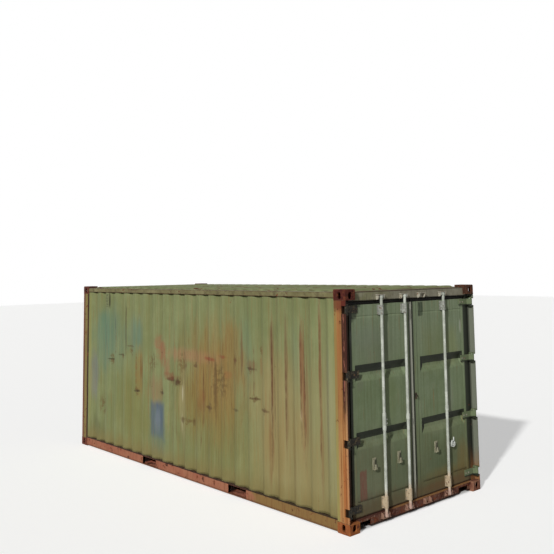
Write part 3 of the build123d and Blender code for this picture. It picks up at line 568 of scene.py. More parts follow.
class Finish(Nodes):
    """A paint or metal being built up: each call lays another colour over what is there.

    A colour is 0xRRGGBB, and the first one may be the name of a setting of the looks.
    """

    def __init__(self, name, colour, roughness):
        self.material = bpy.data.materials.new(name)
        self.material.use_nodes = True
        super().__init__(self.material.node_tree)
        self.tree.nodes.clear()
        self.place = self.add("TexCoord").outputs["Object"]
        self.axes = self.parted(self.place)
        self.colour = tone(getattr(settings("looks"), colour) if isinstance(colour, str) else colour)
        self.roughness = roughness
        self.height = None

    def use(self, effect, *values, place=None):
        """Places a shared group, which reads the piece's own position unless it is given another."""
        values = dict(enumerate((self.place if place is None else place, *values)))
        return self.add("Group", values, node_tree=shared_group(effect)).outputs[0]

    def lay(self, colour, share, *masks, roughness=None):
        """Lays a colour, and a roughness if given, where all the masks meet, at a share of its strength."""
        mask = masks[0]
        for more in (*masks[1:], share):
            mask = self.times(mask, more)
        self.colour = self.mix(mask, self.colour, tone(colour))
        if roughness is not None:
            self.roughness = self.blend(mask, self.roughness, roughness)

    def span(self, axis, start, stop, soft, moved=None):
        """1 between two places along an axis, with soft ends that a ragged shift may move."""
        place = self.axes[axis] if moved is None else self.plus(self.axes[axis], moved)
        rise = self.smooth(place, start - soft, start + soft)
        return self.maths("SUBTRACT", rise, self.smooth(place, stop - soft, stop + soft))

    def band(self, colour, share, axis, start, stop, soft, *masks):
        """Lays a colour between two places along an axis, where other masks allow it."""
        self.lay(colour, share, self.span(axis, start, stop, soft), *masks)

    def attribute(self, name):
        """A value stored on the piece's own points."""
        return self.add("Attribute", attribute_name=name).outputs["Fac"]

    def streaky(self, width, run, least, seed, threshold=0.5, softness=0.15):
        """A texture of upright streaks between a least value and 1, to break up other masks."""
        mask = self.use(streaks, width, run, threshold, softness, seed)
        return self.plus(self.times(mask, 1 - least), least)

    def stains(self, marks, moved, texture, across="X"):
        """Lays the marks of a table; the last entry of each, 1 for a square patch, may be left out."""
        for code, middle, height, half_width, half_height, share, edge, *square in marks:
            centre, half_size = [0.0, 0.0, mm(height)], [100.0, 100.0, mm(half_height)]
            axis = "XY".index(across)
            centre[axis], half_size[axis] = mm(middle), mm(half_width)
            mask = self.use(stain, centre, half_size, moved, edge, square[0] if square else 0.0)
            self.lay(code, share, mask, texture)

    def dirt(self, code, low, high, share, ragged=0.09, grain=7.0):
        """Dirt that rises from a foot: full at low, gone at high."""
        self.lay(code, share, self.use(rising_dirt, low, high, ragged, grain), roughness=DIRT_ROUGH)

    def chalk(self, code, size, threshold, share, seed):
        """A wide soft patch of another shade of the same paint."""
        self.lay(code, share, self.use(blotches, size, threshold, 0.1, seed))

    def runs(self, code, width, run, threshold, softness, share, seed):
        """Upright runs of dirt or rust."""
        mask = self.use(streaks, width, run, threshold, softness, seed)
        self.lay(code, share, mask)
        return mask

    def rust_spots(self, size, threshold, seed, softness=0.02, depth=0.0012):
        """Patches of bare rust with a raised paint border."""
        looks = settings("looks")
        tones = [tone(brown) for brown in (looks.rust_dark, looks.rust_middle, looks.rust_bright)]
        browns = self.use(rust, RUST_GRAIN, *tones)
        spots = self.use(blotches, size, threshold, softness, seed)
        self.lay(browns, 1.0, spots, roughness=RUST_ROUGH)
        self.emboss(self.rest(spots), depth)

    def edge_wear(self, node, colour, width):
        """Wear along the edges of a node's box."""
        low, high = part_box(node)
        worn = self.use(box_wear, tuple(low), tuple(high), width, WEAR_RAGGED, WEAR_GRAIN)
        self.lay(colour, 1.0, worn, roughness=WEAR_ROUGH)

    def emboss(self, height, depth):
        """Adds to the bump: a height from 0 to 1 and its depth in metres."""
        more = self.times(height, depth)
        self.height = more if self.height is None else self.plus(self.height, more)

    def done(self, glow=0.0):
        """Joins everything to the shader, with a white glow if given, and returns the material."""
        values = {
            "Base Color": self.colour, "Roughness": self.roughness, "Metallic": 0.0,
            "Specular IOR Level": SPECULAR, "Emission Color": (1, 1, 1, 1), "Emission Strength": glow,
        }
        if self.height is not None:
            bump = self.add("Bump", {"Height": self.height, "Strength": 1.0, "Distance": 1.0})
            values["Normal"] = bump.outputs[0]
        shader = self.add("BsdfPrincipled", values)
        self.add("OutputMaterial", {"Surface": shader.outputs[0]})
        return self.material


# Finishes of the container

# Painted shade: black in gaps, beside a rod and under hinges, and dark brown along the head of the walls
# under the top rail
BLACK = 0x14160F
HEAD_BLACK = 0x2A2416

# Marks on the left wall, in millimetres: colour, middle, height, half width, half height,
# strength, softness of the border, and 1 for a square patch
WALL_SHADES = (
    (0x54705E, -2240, 1760, 420, 460, 0.75, 0.6), (0x4E7068, -1400, 1870, 200, 250, 0.6, 0.6),
    (0x56745E, -2330, 1950, 160, 260, 0.5, 0.6), (0x6E6E74, -2660, 1150, 130, 330, 0.6, 0.5),
    (0x8A8444, -2800, 1300, 50, 1250, 0.6, 0.4), (0x6A8468, 1290, 1780, 150, 420, 0.5, 0.6),
    (0x6C8264, 2200, 1690, 90, 380, 0.5, 0.6), (0x7A8874, 2740, 1240, 70, 600, 0.6, 0.6),
    (0x8A6C3A, 560, 1380, 600, 660, 0.95, 0.6), (0x806A3C, 1000, 1750, 190, 380, 0.8, 0.3, 0.5),
    (0x9A7254, 60, 1660, 520, 90, 0.7, 0.6), (0x78642E, 60, 1000, 340, 380, 0.6, 0.7),
    (0x706A34, -1450, 700, 420, 520, 0.6, 0.7), (0x746A34, 800, 560, 900, 420, 0.5, 0.8),
    (0x7E6A3A, 2150, 560, 520, 440, 0.6, 0.7), (0x50502E, -2560, 330, 200, 170, 0.6, 0.6),
    (0x9A9A68, 2790, 1500, 45, 950, 0.5, 0.4), (0x86684A, -850, 1120, 160, 240, 0.7, 0.5),
    (0x98946E, -130, 940, 70, 460, 0.5, 0.5), (0x8C7040, 1900, 1180, 420, 520, 0.55, 0.7),
)
WALL_PATCHES = (
    (0x44566A, -770, 690, 205, 250, 0.85, 0.26, 0.9), (0x747A80, -760, 660, 50, 170, 0.5, 0.5),
    (0x56665C, -740, 400, 205, 190, 0.5, 0.6, 0.5), (0xB0A88C, -150, 1130, 16, 110, 0.7, 0.4),
    (0xA8A282, -160, 740, 14, 130, 0.5, 0.4), (0xC2B28A, 2285, 1150, 12, 60, 0.55, 0.5),
)
# Rust, and near-black strokes at the dents that are painted shade of the dents as well as rust
WALL_RUST = (
    (0x8C4C36, -640, 1660, 110, 170, 0.7, 0.5), (0x8E5440, -740, 1790, 90, 100, 0.5, 0.5),
    (0x86503A, -520, 1450, 50, 130, 0.6, 0.5), (0x2A120C, -395, 1300, 110, 26, 0.95, 0.35),
    (0x7A4630, -430, 1340, 150, 50, 0.6, 0.5), (0x3A2016, -250, 1270, 50, 50, 0.8, 0.4),
    (0x7A3020, 500, 1650, 110, 24, 0.85, 0.4), (0x7A3A26, 790, 1700, 90, 22, 0.75, 0.4),
    (0x5A3020, 1050, 1680, 60, 24, 0.75, 0.4), (0x24140E, 1360, 1600, 90, 18, 0.92, 0.4),
    (0x6E442E, 1370, 1640, 100, 60, 0.45, 0.5), (0x4E2E1E, 170, 1530, 60, 20, 0.8, 0.4),
    (0x5E3A26, -30, 1520, 36, 26, 0.6, 0.4), (0x3E2A18, -1230, 1370, 24, 130, 0.7, 0.5),
    (0x866636, -1260, 1320, 100, 320, 0.6, 0.5), (0x2E2014, -1340, 1040, 60, 18, 0.9, 0.4),
    (0x36281A, -2110, 1452, 90, 14, 0.9, 0.4), (0x3E2E1C, -1800, 1540, 90, 14, 0.85, 0.4),
    (0x4E3A24, -1500, 1690, 100, 14, 0.8, 0.4), (0x36241A, -653, 1084, 60, 18, 0.9, 0.4),
    (0x3E2416, 500, 1018, 80, 22, 0.85, 0.4), (0x7A4E2E, 330, 1080, 70, 140, 0.4, 0.5),
    (0x4A3420, 1443, 1242, 90, 13, 0.85, 0.4), (0x44341F, 1060, 1060, 70, 15, 0.75, 0.5),
    (0x4E2E1E, 1631, 1121, 70, 18, 0.85, 0.4), (0x8E5C3A, 1571, 1820, 14, 60, 0.6, 0.4),
    (0x8E5C3A, 1560, 1640, 34, 110, 0.4, 0.5), (0x6A5A32, 0, 790, 170, 18, 0.6, 0.5),
    (0x4A341C, -144, 770, 26, 40, 0.7, 0.5), (0x4A341C, 130, 770, 30, 50, 0.7, 0.5),
    (0x8A5232, 900, 1480, 60, 50, 0.4, 0.5),
)
# Runs of rust and dirt, and dark lines on the folds that are painted shade in the folds as well as dirt
WALL_RUNS = (
    (0x6A4026, 1765, 1500, 20, 680, 0.75, 0.5), (0x6C4626, 1735, 900, 24, 420, 0.65, 0.6),
    (0x6A482C, 2025, 1520, 20, 640, 0.65, 0.5), (0x7A4228, 2300, 1560, 28, 560, 0.85, 0.45),
    (0x70442E, 2360, 1400, 18, 640, 0.55, 0.5), (0x7A4C2E, 2590, 1640, 16, 790, 0.75, 0.45),
    (0x6E5030, 2600, 700, 22, 420, 0.6, 0.6), (0x7A6232, 1900, 560, 40, 420, 0.5, 0.7),
    (0x7A6232, 2150, 640, 34, 500, 0.5, 0.7), (0x3E4A40, -1964, 2030, 9, 150, 0.8, 0.4),
    (0x3A2C1C, -1645, 1880, 14, 370, 0.92, 0.4), (0x303C36, -2262, 1830, 13, 240, 0.85, 0.4),
    (0x5A5030, -1349, 1300, 10, 270, 0.6, 0.5), (0x5A5030, -1174, 1290, 10, 270, 0.6, 0.5),
    (0x20180F, -2166, 2390, 16, 110, 0.8, 0.4), (0x6A5230, 620, 1350, 12, 330, 0.6, 0.5),
    (0x5E3820, 1185, 1760, 12, 330, 0.75, 0.4), (0x6E4428, 880, 1900, 12, 170, 0.5, 0.5),
    (0x6A4C2A, 360, 1250, 12, 330, 0.5, 0.5), (0x46290F, 632, 1250, 13, 420, 0.85, 0.4),
)
WALL_LINES = (
    (0x4A2C1C, 1757, 1480, 9, 700, 0.75, 0.6, 0.3), (0x52341E, 2019, 1450, 8, 600, 0.65, 0.6, 0.3),
    (0x563420, 2284, 1540, 9, 560, 0.7, 0.6, 0.3), (0x4E2E1C, 2322, 1380, 9, 600, 0.7, 0.6, 0.3),
    (0x5A3820, 2586, 1500, 8, 800, 0.65, 0.6, 0.3), (0x3E2818, -1262, 1400, 13, 210, 0.95, 0.4),
    (0x3E2818, -1200, 1350, 12, 230, 0.95, 0.4), (0x5A3A24, -1000, 1300, 9, 300, 0.6, 0.4),
    (0x5E3E26, 1440, 1500, 9, 300, 0.6, 0.4), (0x4E3420, 1800, 1250, 7, 380, 0.6, 0.6),
    (0x6A4A2E, 2700, 1300, 8, 700, 0.45, 0.6), (0x54381E, 360, 1150, 9, 420, 0.7, 0.5),
)

# Marks on the door leaves, in the same order but across the leaves
LEFT_LEAF_MARKS = (
    (0x6A6A58, -880, 270, 160, 120, 0.4, 0.5), (0x6E6E5E, -930, 1560, 60, 90, 0.35, 0.4, 0.4),
    (0x6E7A4E, -420, 1330, 130, 240, 0.4, 0.5), (0x7E8878, -800, 2050, 260, 110, 0.3, 0.5),
    (0x485A3C, -300, 500, 160, 300, 0.4, 0.6), (0x6E705E, -620, 1900, 330, 240, 0.4, 0.6),
    (0x66684E, -700, 760, 300, 160, 0.4, 0.6),
)
RIGHT_LEAF_MARKS = (
    (0x8A905E, 800, 1850, 110, 200, 0.5, 0.5), (0x868E68, 780, 1650, 180, 60, 0.5, 0.4),
    (0x84886A, 500, 900, 300, 90, 0.4, 0.5), (0x4C5C42, 480, 380, 240, 260, 0.5, 0.6),
    (0x7A6434, 950, 360, 110, 260, 0.6, 0.5), (0xB0B4A4, 985, 2070, 18, 90, 0.7, 0.3),
    (0x8A8E80, 720, 1200, 60, 260, 0.3, 0.4), (0x72774C, 420, 1880, 260, 260, 0.5, 0.6),
    (0x7A6A3C, 620, 300, 420, 90, 0.6, 0.6), (0x84542F, 560, 190, 480, 50, 0.7, 0.6),
)
# The first patch, black, is a painted shadow in the left leaf's top corner by the post
LEAF_PATCHES = (
    (0x10120C, -1050, 2330, 80, 76, 0.92, 0.2, 0.7), (0x7C3C38, -915, 450, 56, 158, 0.7, 0.10, 1.0),
    (0x222E1C, 170, 2322, 50, 84, 0.92, 0.08, 1.0),
)


def wall_base(name, seed):
    """The paint that all the corrugated sheets share: chalk, fine runs, dark speckles, worn bends and a
    darker tone towards the valleys.
    """
    made = Finish(name + "_paint", "side_green", 0.6)
    made.chalk(0x8C9266, 0.8, 0.52, 0.5, seed)
    made.chalk(0x6E7850, 0.5, 0.55, 0.5, seed + 2.0)
    made.runs(0x6A6A3C, 0.05, 1.6, 0.56, 0.12, 0.45, seed + 4.0)
    made.runs(0x989A72, 0.03, 1.2, 0.58, 0.1, 0.4, seed + 5.0)
    made.lay(0x6A6E48, 0.3, made.use(blotches, 0.018, 0.5, 0.22, seed + 6.0))
    wave = made.attribute("wave")
    # Darker towards the valleys of the wave
    made.lay(0x5E5A38, 0.16, wave, wave)
    bend = made.smooth(made.times(wave, made.rest(wave)), 0.02, 0.12)
    made.lay(0x7E6238, 0.55, bend, made.use(streaks, 0.012, 0.5, 0.6, 0.06, seed + 8.0))
    return made


def left_wall_paint():
    """The long wall that the photograph shows: its shades, patches, rust and runs in their places."""
    made = wall_base("left_wall", 2.0)
    moved = made.use(shift, 5.0, 0.22, 2.2)
    made.stains(WALL_SHADES, moved, made.streaky(0.03, 1.2, 0.5, 21.0, softness=0.2))
    made.band(0x9A8C62, 0.42, "X", 1.45, 4.0, 0.35, made.span("Z", 0.0, 1.75, 0.5))
    made.stains(WALL_PATCHES, made.use(shift, 9.0, 0.5, 0.6), made.streaky(0.02, 0.4, 0.7, 24.0))
    made.stains(WALL_RUNS, made.use(shift, 11.0, 0.12, 3.4), made.streaky(0.010, 0.5, 0.3, 22.0))
    broken = made.streaky(0.02, 0.12, 0.25, 26.0, 0.46, 0.12)
    made.stains(WALL_LINES, made.use(shift, 26.0, 0.2, 2.6), broken)
    made.emboss(made.runs(0x84562E, 0.012, 0.7, 0.64, 0.07, 0.5, 17.0), -0.0003)
    middle = made.span("X", -0.25, 1.2, 0.25, moved), made.span("Z", 0.55, 2.0, 0.3, moved)
    made.lay(0x5E4222, 0.75, *middle, made.use(streaks, 0.007, 0.35, 0.58, 0.05, 25.0))
    bruise = made.smooth(made.attribute("bruise"), 0.5, 0.95)
    made.lay(0x5E4828, 0.7, bruise, made.use(blotches, 0.05, 0.5, 0.06, 12.0))
    made.stains(WALL_RUST, made.use(shift, 16.0, 0.9, 1.8), made.streaky(0.016, 0.16, 0.55, 23.0))
    made.rust_spots(0.07, 0.70, 3.0)
    made.dirt(0x7A6A40, 0.16, 0.42, 0.6, 0.06, 12.0)
    # Painted shade along the head of the wall, under the top rail
    made.band(HEAD_BLACK, 0.75, "Z", 2.488, 2.6, 0.006)
    return made.done()


def plain_wall_paint(name, seed):
    """The other corrugated walls: the same paint and age with no places of their own."""
    made = wall_base(name, seed)
    made.runs(0x8E5A3A, 0.02, 0.8, 0.66, 0.07, 0.7, seed + 11.0)
    made.chalk(0x8A7A48, 0.45, 0.62, 0.6, seed + 12.0)
    made.rust_spots(0.08, 0.66, seed + 3.0)
    made.dirt(0x6A5A3C, 0.16, 0.5, 0.6)
    # Painted shade along the head of the wall, under the top rail
    made.band(HEAD_BLACK, 0.75, "Z", 2.488, 2.6, 0.006)
    return made.done()


def inner_paint():
    """Pale paint of the inside, scuffed at load height."""
    made = Finish("inside_paint", "inside", 0.65)
    made.chalk(0x8E8A7C, 0.3, 0.55, 0.5, 9.0)
    made.runs(0x84704E, 0.02, 0.7, 0.64, 0.08, 0.5, 10.0)
    made.rust_spots(0.06, 0.68, 11.0)
    made.dirt(0x6A6052, 0.2, 0.9, 0.5)
    return made.done()


def roof_paint():
    """Paint of the roof, rusted and dirty where water stands between the ribs."""
    made = Finish("roof_paint", "side_green", 0.7)
    made.chalk(0x8C9266, 0.7, 0.5, 0.6, 5.0)
    low = made.rest(made.smooth(made.attribute("wave"), 0.0, 0.5))
    made.lay(0x5E5238, 0.8, low, made.use(blotches, 0.16, 0.5, 0.08, 7.0), roughness=0.9)
    made.rust_spots(0.12, 0.6, 8.0)
    return made.done()


def door_base(name, seed, side):
    """Darker green paint of a door leaf, browner towards its foot, with black painted shade along the edge by
    its hinge post.
    """
    made = Finish(name, "door_green", 0.58)
    made.chalk(0x8A9678, 0.5, 0.52, 0.5, seed)
    made.chalk(0x687652, 0.4, 0.55, 0.55, seed + 2.0)
    made.band(0x8C987E, 0.5, "Z", 1.85, 3.0, 0.3)
    made.runs(0x5E6A46, 0.03, 1.4, 0.55, 0.12, 0.5, seed + 3.0)
    made.runs(0x98A288, 0.02, 0.8, 0.62, 0.08, 0.35, seed + 4.0)
    made.lay(0x58644A, 0.3, made.use(blotches, 0.018, 0.5, 0.22, seed + 6.0))
    made.dirt(0x6A6852 if side < 0 else 0x5C5C40, 0.4, 1.3, 0.6, 0.2, 3.0)
    made.runs(0x8A6A44, 0.02, 0.5, 0.64, 0.06, 0.55, seed + 8.0)
    # Black painted shade along the edge by the hinge post
    made.band(0x10120C, 0.93, "Y", *((-1.2, -1.058) if side < 0 else (1.050, 1.2)), 0.012)
    return made


def door_paint(name, side):
    """A door leaf's paint with its own marks, black painted shade under its grooves, in the gap and at its
    foot, and rust along its foot.
    """
    made = door_base(name, 3.0 + 5.0 * side, side)
    own = LEFT_LEAF_MARKS if side < 0 else RIGHT_LEAF_MARKS
    made.stains(own, made.use(shift, 7.0, 0.3, 0.9), made.streaky(0.03, 0.6, 0.6, 31.0), "Y")
    made.stains(LEAF_PATCHES, made.use(shift, 22.0, 0.6, 0.4), made.streaky(0.012, 0.1, 0.6, 32.0), "Y")
    if side < 0:
        made.band(0xB4B4A6, 0.9, "Y", -0.046, -0.004, 0.004)
        # Black painted shadow of the inner rod, beside the pale strip
        made.band(BLACK, 0.9, "Y", -0.066, -0.048, 0.004)
    else:
        # Black painted shade in the gap between the leaves
        made.band(BLACK, 0.9, "Y", 0.0, 0.026, 0.004)
        made.band(0x2A2E1E, 0.6, "Y", 0.076, 0.086, 0.003)
    # Black painted shade on the upper slope of each groove and a painted shadow at each groove's near end,
    # with a ragged border
    grime = made.plus(made.attribute("lee"), made.use(shift, 14.0, 1.0, 0.5))
    made.lay(0x0E110A, 0.92, made.smooth(grime, 0.25, 0.55))
    made.rust_spots(0.06, 0.71, 4.0 + side)
    made.dirt(0x5C4C34, 0.17, 0.40, 0.7, 0.06, 10.0)
    # A dark line at the leaf's foot: painted shade of the gap above the sill
    made.dirt(0x3A2618, 0.136, 0.150, 0.9, 0.004, 20.0)
    return made.done()


def rubber_finish():
    """Old black rubber with a grey bloom, tan with dust along the foot."""
    made = Finish("seal_rubber", "dark_gap", 0.75)
    made.chalk(0x3A3834, 0.06, 0.52, 0.5, 4.0)
    made.dirt(0x8A6A48, 0.13, 0.15, 0.8, 0.01, 12.0)
    return made.done()


def board_finish():
    """Plywood with its grain along X, scuffed by loads."""
    made = Finish("floor_plywood", "timber", 0.7)
    stretched = made.vector("MULTIPLY", made.place, (0.05, 1.0, 0.4))
    grain = made.use(streaks, 0.004, 0.05, 0.5, 0.2, 1.0, place=stretched)
    made.lay(0x5A4028, 0.6, grain)
    made.chalk(0x8E7A60, 0.5, 0.52, 0.5, 6.0)
    made.chalk(0x4A3A2A, 0.12, 0.6, 0.6, 7.0)
    made.emboss(grain, 0.0004)
    return made.done()


def dark_steel(name, code=0x4A3A2E):
    """Brown rusty steel under the floor and in dark places."""
    made = Finish(name, code, 0.8)
    made.chalk(0x6A5040, 0.2, 0.5, 0.5, 1.0)
    made.rust_spots(0.09, 0.55, 2.0)
    return made


def casting_rust(node, code, worn, seed):
    """Heavy flaking rust of a corner casting, with a worn shade in patches and on its edges."""
    made = Finish(node + "_rust", code, 0.85)
    made.chalk(worn, 0.09, 0.54, 0.7, seed)
    made.rust_spots(0.05, 0.56, seed + 1.0, 0.03, 0.0018)
    made.edge_wear(node, worn, 0.008)
    return made.done()


def near_post_paint():
    """The near door post: tan on its side, maroon by the doors, and orange towards its foot, with a painted
    highlight down its corner and black painted shade on its strip by the door.
    """
    made = Finish("left_door_post_paint", "post_orange", 0.7)
    made.chalk(0xB08A58, 0.3, 0.5, 0.6, 1.0)
    made.runs(0x7A5230, 0.012, 0.7, 0.55, 0.1, 0.6, 2.0)
    made.runs(0xC49C6A, 0.012, 0.9, 0.6, 0.08, 0.3, 3.0)
    made.runs(0x4A2A18, 0.007, 0.9, 0.57, 0.06, 0.7, 5.0)
    made.band(0x8C8850, 0.8, "X", 2.84, 2.888, 0.010)
    made.band(0x8E5C30, 0.7, "X", 2.91, 2.935, 0.008, made.streaky(0.02, 0.5, 0.3, 7.0))
    made.band(0xA45E2E, 0.75, "X", 2.945, 3.1, 0.012, made.span("Z", 0.0, 1.0, 0.5))
    moved = made.use(shift, 5.0, 0.5, 1.6)
    made.lay(0x90582C, 0.4, made.span("Z", 1.2, 2.45, 0.3, moved))
    made.band(0x2C100A, 0.95, "X", 2.962, 3.1, 0.006, made.span("Z", 1.3, 3.0, 0.3, moved))
    # Pink streaks down the upper part of the corner: a painted highlight
    pink = made.span("Z", 1.3, 2.45, 0.2, moved), made.streaky(0.03, 0.12, 0.0, 8.0, 0.52, 0.06)
    made.band(0x9A6050, 0.7, "X", 2.985, 3.004, 0.004, *pink)
    crack = made.span("Z", 0.0, 1.3, 0.2, moved), made.streaky(0.02, 0.2, 0.2, 9.0)
    made.band(0x4E2816, 0.85, "X", 2.980, 2.992, 0.003, *crack)
    made.band(0x5E2418, 0.75, "Z", 2.36, 2.6, 0.04)
    made.rust_spots(0.05, 0.64, 4.0)
    front = made.span("X", 3.0235, 4.0, 0.0012)
    made.lay(0x5A2E26, 0.95, front)
    made.lay(0xA8643A, 0.75, front, made.span("Z", 0.0, 0.75, 0.4))
    # Black painted shade on the post's strip beside the door
    made.band(0x140E0A, 0.92, "Y", -1.20, -1.0, 0.008)
    # A pale painted highlight down the lower part of the corner
    lip = made.span("Y", -1.3, -1.209, 0.001), made.span("Z", 0.1, 1.5, 0.4)
    made.band(0xB89068, 0.5, "X", 3.004, 4.0, 0.003, *lip)
    return made.done()


def far_door_post_paint():
    """The right door post: door green, pale along its outer edge, with black painted shade on its strip by
    the leaf, rusty at its foot.
    """
    made = door_base("right_door_post_paint", 5.0, 0)
    made.band(0x6E7164, 0.85, "Y", 1.178, 1.3, 0.010)
    # Black painted shade on the strip beside the leaf
    made.band(0x10130C, 0.92, "Y", 1.132, 1.168, 0.006)
    made.rust_spots(0.06, 0.66, 6.0)
    made.dirt(0x8A5E38, 0.1, 0.6, 0.9, 0.15, 5.0)
    return made.done()


def front_post_paint(node):
    """A post of the front end: brown with an olive strip and a black line of painted shade where it meets the
    wall.
    """
    made = Finish(node + "_paint", 0x6E4C38, 0.75)
    made.band(0x847A46, 0.85, "X", -2.965, -2.885, 0.01)
    # Black painted shade where the post meets the wall
    made.band(0x17110C, 0.9, "X", -2.882, -2.80, 0.008)
    made.band(0x9C7C6C, 0.7, "X", -3.1, -3.015, 0.006)
    made.runs(0x54301E, 0.014, 0.6, 0.55, 0.1, 0.7, 2.0)
    made.rust_spots(0.06, 0.6, 3.0)
    return made.done()


def bottom_rail_paint(node):
    """A bottom rail: red-brown primer, turning olive-brown towards the doors, with black painted shade along
    its top edge under the wall.
    """
    made = Finish(node + "_paint", 0x925A44, 0.72)
    made.chalk(0x9E6E52, 0.3, 0.52, 0.5, 1.0)
    made.lay(0x7C6438, 0.9, made.span("X", 1.40, 4.0, 0.12, made.use(shift, 9.0, 1.0, 0.5)))
    made.runs(0x6A3E26, 0.02, 0.2, 0.56, 0.1, 0.5, 2.0)
    made.rust_spots(0.07, 0.6, 3.0)
    made.band(0x5A3A24, 0.6, "Z", 0.0, 0.034, 0.008)
    # Black painted shade along the top edge, under the wall sheet
    made.band(0x1A100A, 0.94, "Z", 0.129, 0.1448, 0.0012)
    made.band(0x2A2214, 0.9, "Z", 0.1449, 1.0, 0.0001)
    made.band(0x2A140C, 0.9, "X", 0.385, 0.397, 0.003, made.span("Z", 0.05, 0.125, 0.005))
    return made.done()


def khaki_paint(name, code=0x6E6846, node=None):
    """Khaki with brown chips, for the top rails, the roof plates and the welds beside them."""
    made = Finish(name + "_paint", code, 0.68)
    made.chalk(0x8A8460, 0.25, 0.52, 0.5, 1.0)
    made.chalk(0x4E4630, 0.09, 0.56, 0.7, 2.0)
    made.rust_spots(0.05, 0.62, 3.0)
    if node:
        made.edge_wear(node, 0x4A3424, 0.006)
    return made.done()


def header_paint():
    """The header: khaki, olive at its left, greyer at its right, with painted shade: black under its foot,
    dark along its top and black at its left end.
    """
    made = Finish("door_header_paint", 0x868270, 0.66)
    made.band(0x7A7A50, 0.7, "Y", -1.2, -0.45, 0.25)
    made.chalk(0xA09C8A, 0.2, 0.52, 0.5, 1.0)
    made.runs(0x5E5646, 0.02, 0.1, 0.56, 0.1, 0.5, 4.0)
    made.rust_spots(0.03, 0.66, 3.0)
    # Painted shade: black under the header's foot, dark along its top and black at its left end by the corner
    # post
    made.band(0x1E1A14, 0.8, "Z", 2.4, 2.464, 0.003)
    made.band(0x3A2A1C, 0.8, "Z", 2.548, 2.6, 0.003)
    made.band(0x14140F, 0.75, "Y", -1.2, -1.0, 0.03)
    return made.done()


def sill_paint():
    """The sill: dark maroon rust with flecks of tan primer."""
    made = Finish("door_sill_paint", 0x5C3C32, 0.8)
    made.chalk(0x84644E, 0.12, 0.55, 0.6, 1.0)
    made.runs(0xC0A88E, 0.012, 0.05, 0.62, 0.04, 0.7, 2.0)
    made.rust_spots(0.04, 0.5, 3.0)
    # Black painted shade along the sill's foot
    made.band(0x1A100C, 0.8, "Z", 0.0, 0.030, 0.006)
    edge = made.span("Z", 0.106, 0.13, 0.002)
    made.lay(0x4A2A20, 0.9, edge)
    made.lay(0x946A40, 0.85, edge, made.span("Y", -0.45, 1.3, 0.12))
    return made.done()


def rod_finish():
    """Zinc of the rods: pale, scratched along the rod, tan and pink low down."""
    made = Finish("rod_zinc", "rod_pale", 0.5)
    made.chalk(0xDEE0D6, 0.12, 0.5, 0.5, 1.0)
    made.runs(0x8E9486, 0.006, 0.25, 0.58, 0.08, 0.6, 2.0)
    made.band(0xC4AE92, 0.75, "Z", 0.0, 0.33, 0.05)
    made.band(0xB08A80, 0.7, "Z", 0.0, 0.13, 0.03)
    made.rust_spots(0.02, 0.66, 3.0)
    return made.done()


def bracket_finish():
    """Worn zinc and grey paint of the rod brackets, cream and tan on the lower ones."""
    made = Finish("bracket_paint", 0x94968E, 0.6)
    made.chalk(0x74766C, 0.03, 0.5, 0.7, 1.0)
    made.chalk(0xC2C4BA, 0.02, 0.58, 0.8, 4.0)
    made.band(0xBEAC8E, 0.85, "Z", 0.0, 0.33, 0.05)
    made.band(0x8E7052, 0.4, "Z", 0.0, 0.33, 0.05, made.streaky(0.012, 0.05, 0.0, 5.0))
    made.rust_spots(0.03, 0.6, 3.0)
    return made.done()


def fitting_finish(name, code, seed, threshold=0.6):
    """Old paint on the small fittings, with rust in the corners."""
    made = Finish(name, code, 0.62)
    made.chalk(0x8A7A5A, 0.03, 0.56, 0.4, seed)
    made.rust_spots(0.025, threshold, seed + 1.0)
    return made.done()


def catch_finish(name):
    """Paint of the handle catches, with black painted shade beside their hooks, and the round one pale."""
    made = Finish(name, 0x9A967A, 0.62)
    made.chalk(0xB4B09A, 0.03, 0.54, 0.6, 3.0)
    made.rust_spots(0.025, 0.62, 4.0)
    # Black painted shade beside each hook
    for hook in (-0.737, -0.305, 0.392):
        height = made.span("Z", 0.615, 0.70, 0.012)
        made.band(0x1C1E14, 0.85, "Y", hook + 0.001, hook + 0.05, 0.006, height)
    made.band(0xD4D8D2, 0.9, "Y", 0.66, 1.2, 0.01)
    return made.done()


def right_hinge_paint():
    """Door green of the right hinges, with a black painted shadow under each."""
    made = Finish("right_hinge_paint", 0x626E50, 0.62)
    made.chalk(0x7A7C5A, 0.03, 0.56, 0.4, 5.0)
    # A black painted shadow under each hinge
    for row in (0.230, 0.943, 1.656, 2.369):
        made.band(BLACK, 0.9, "Z", row - 0.07, row - 0.027, 0.003)
    return made.done()


def pocket_steel():
    """The fork pockets: red-brown at the foot of the mouth, with black painted shade inside the mouth above
    it.
    """
    made = dark_steel("pocket_steel", 0xB06A54)
    # Black painted shade inside the mouth
    made.band(0x0E0906, 0.95, "Z", 0.036, 0.2, 0.008)
    return made.done()


def vent_paint(side):
    """A vent cover: wall green with black painted shade in the slots between its louvres."""
    made = Finish(side + "_vent_paint", 0x6E7450, 0.6)
    made.chalk(0x8A8C62, 0.05, 0.52, 0.5, 3.0)
    # Black painted shade in the slots
    made.lay(0x15120C, 1.0, made.attribute("slot"))
    made.rust_spots(0.03, 0.64, 2.0)
    return made.done()


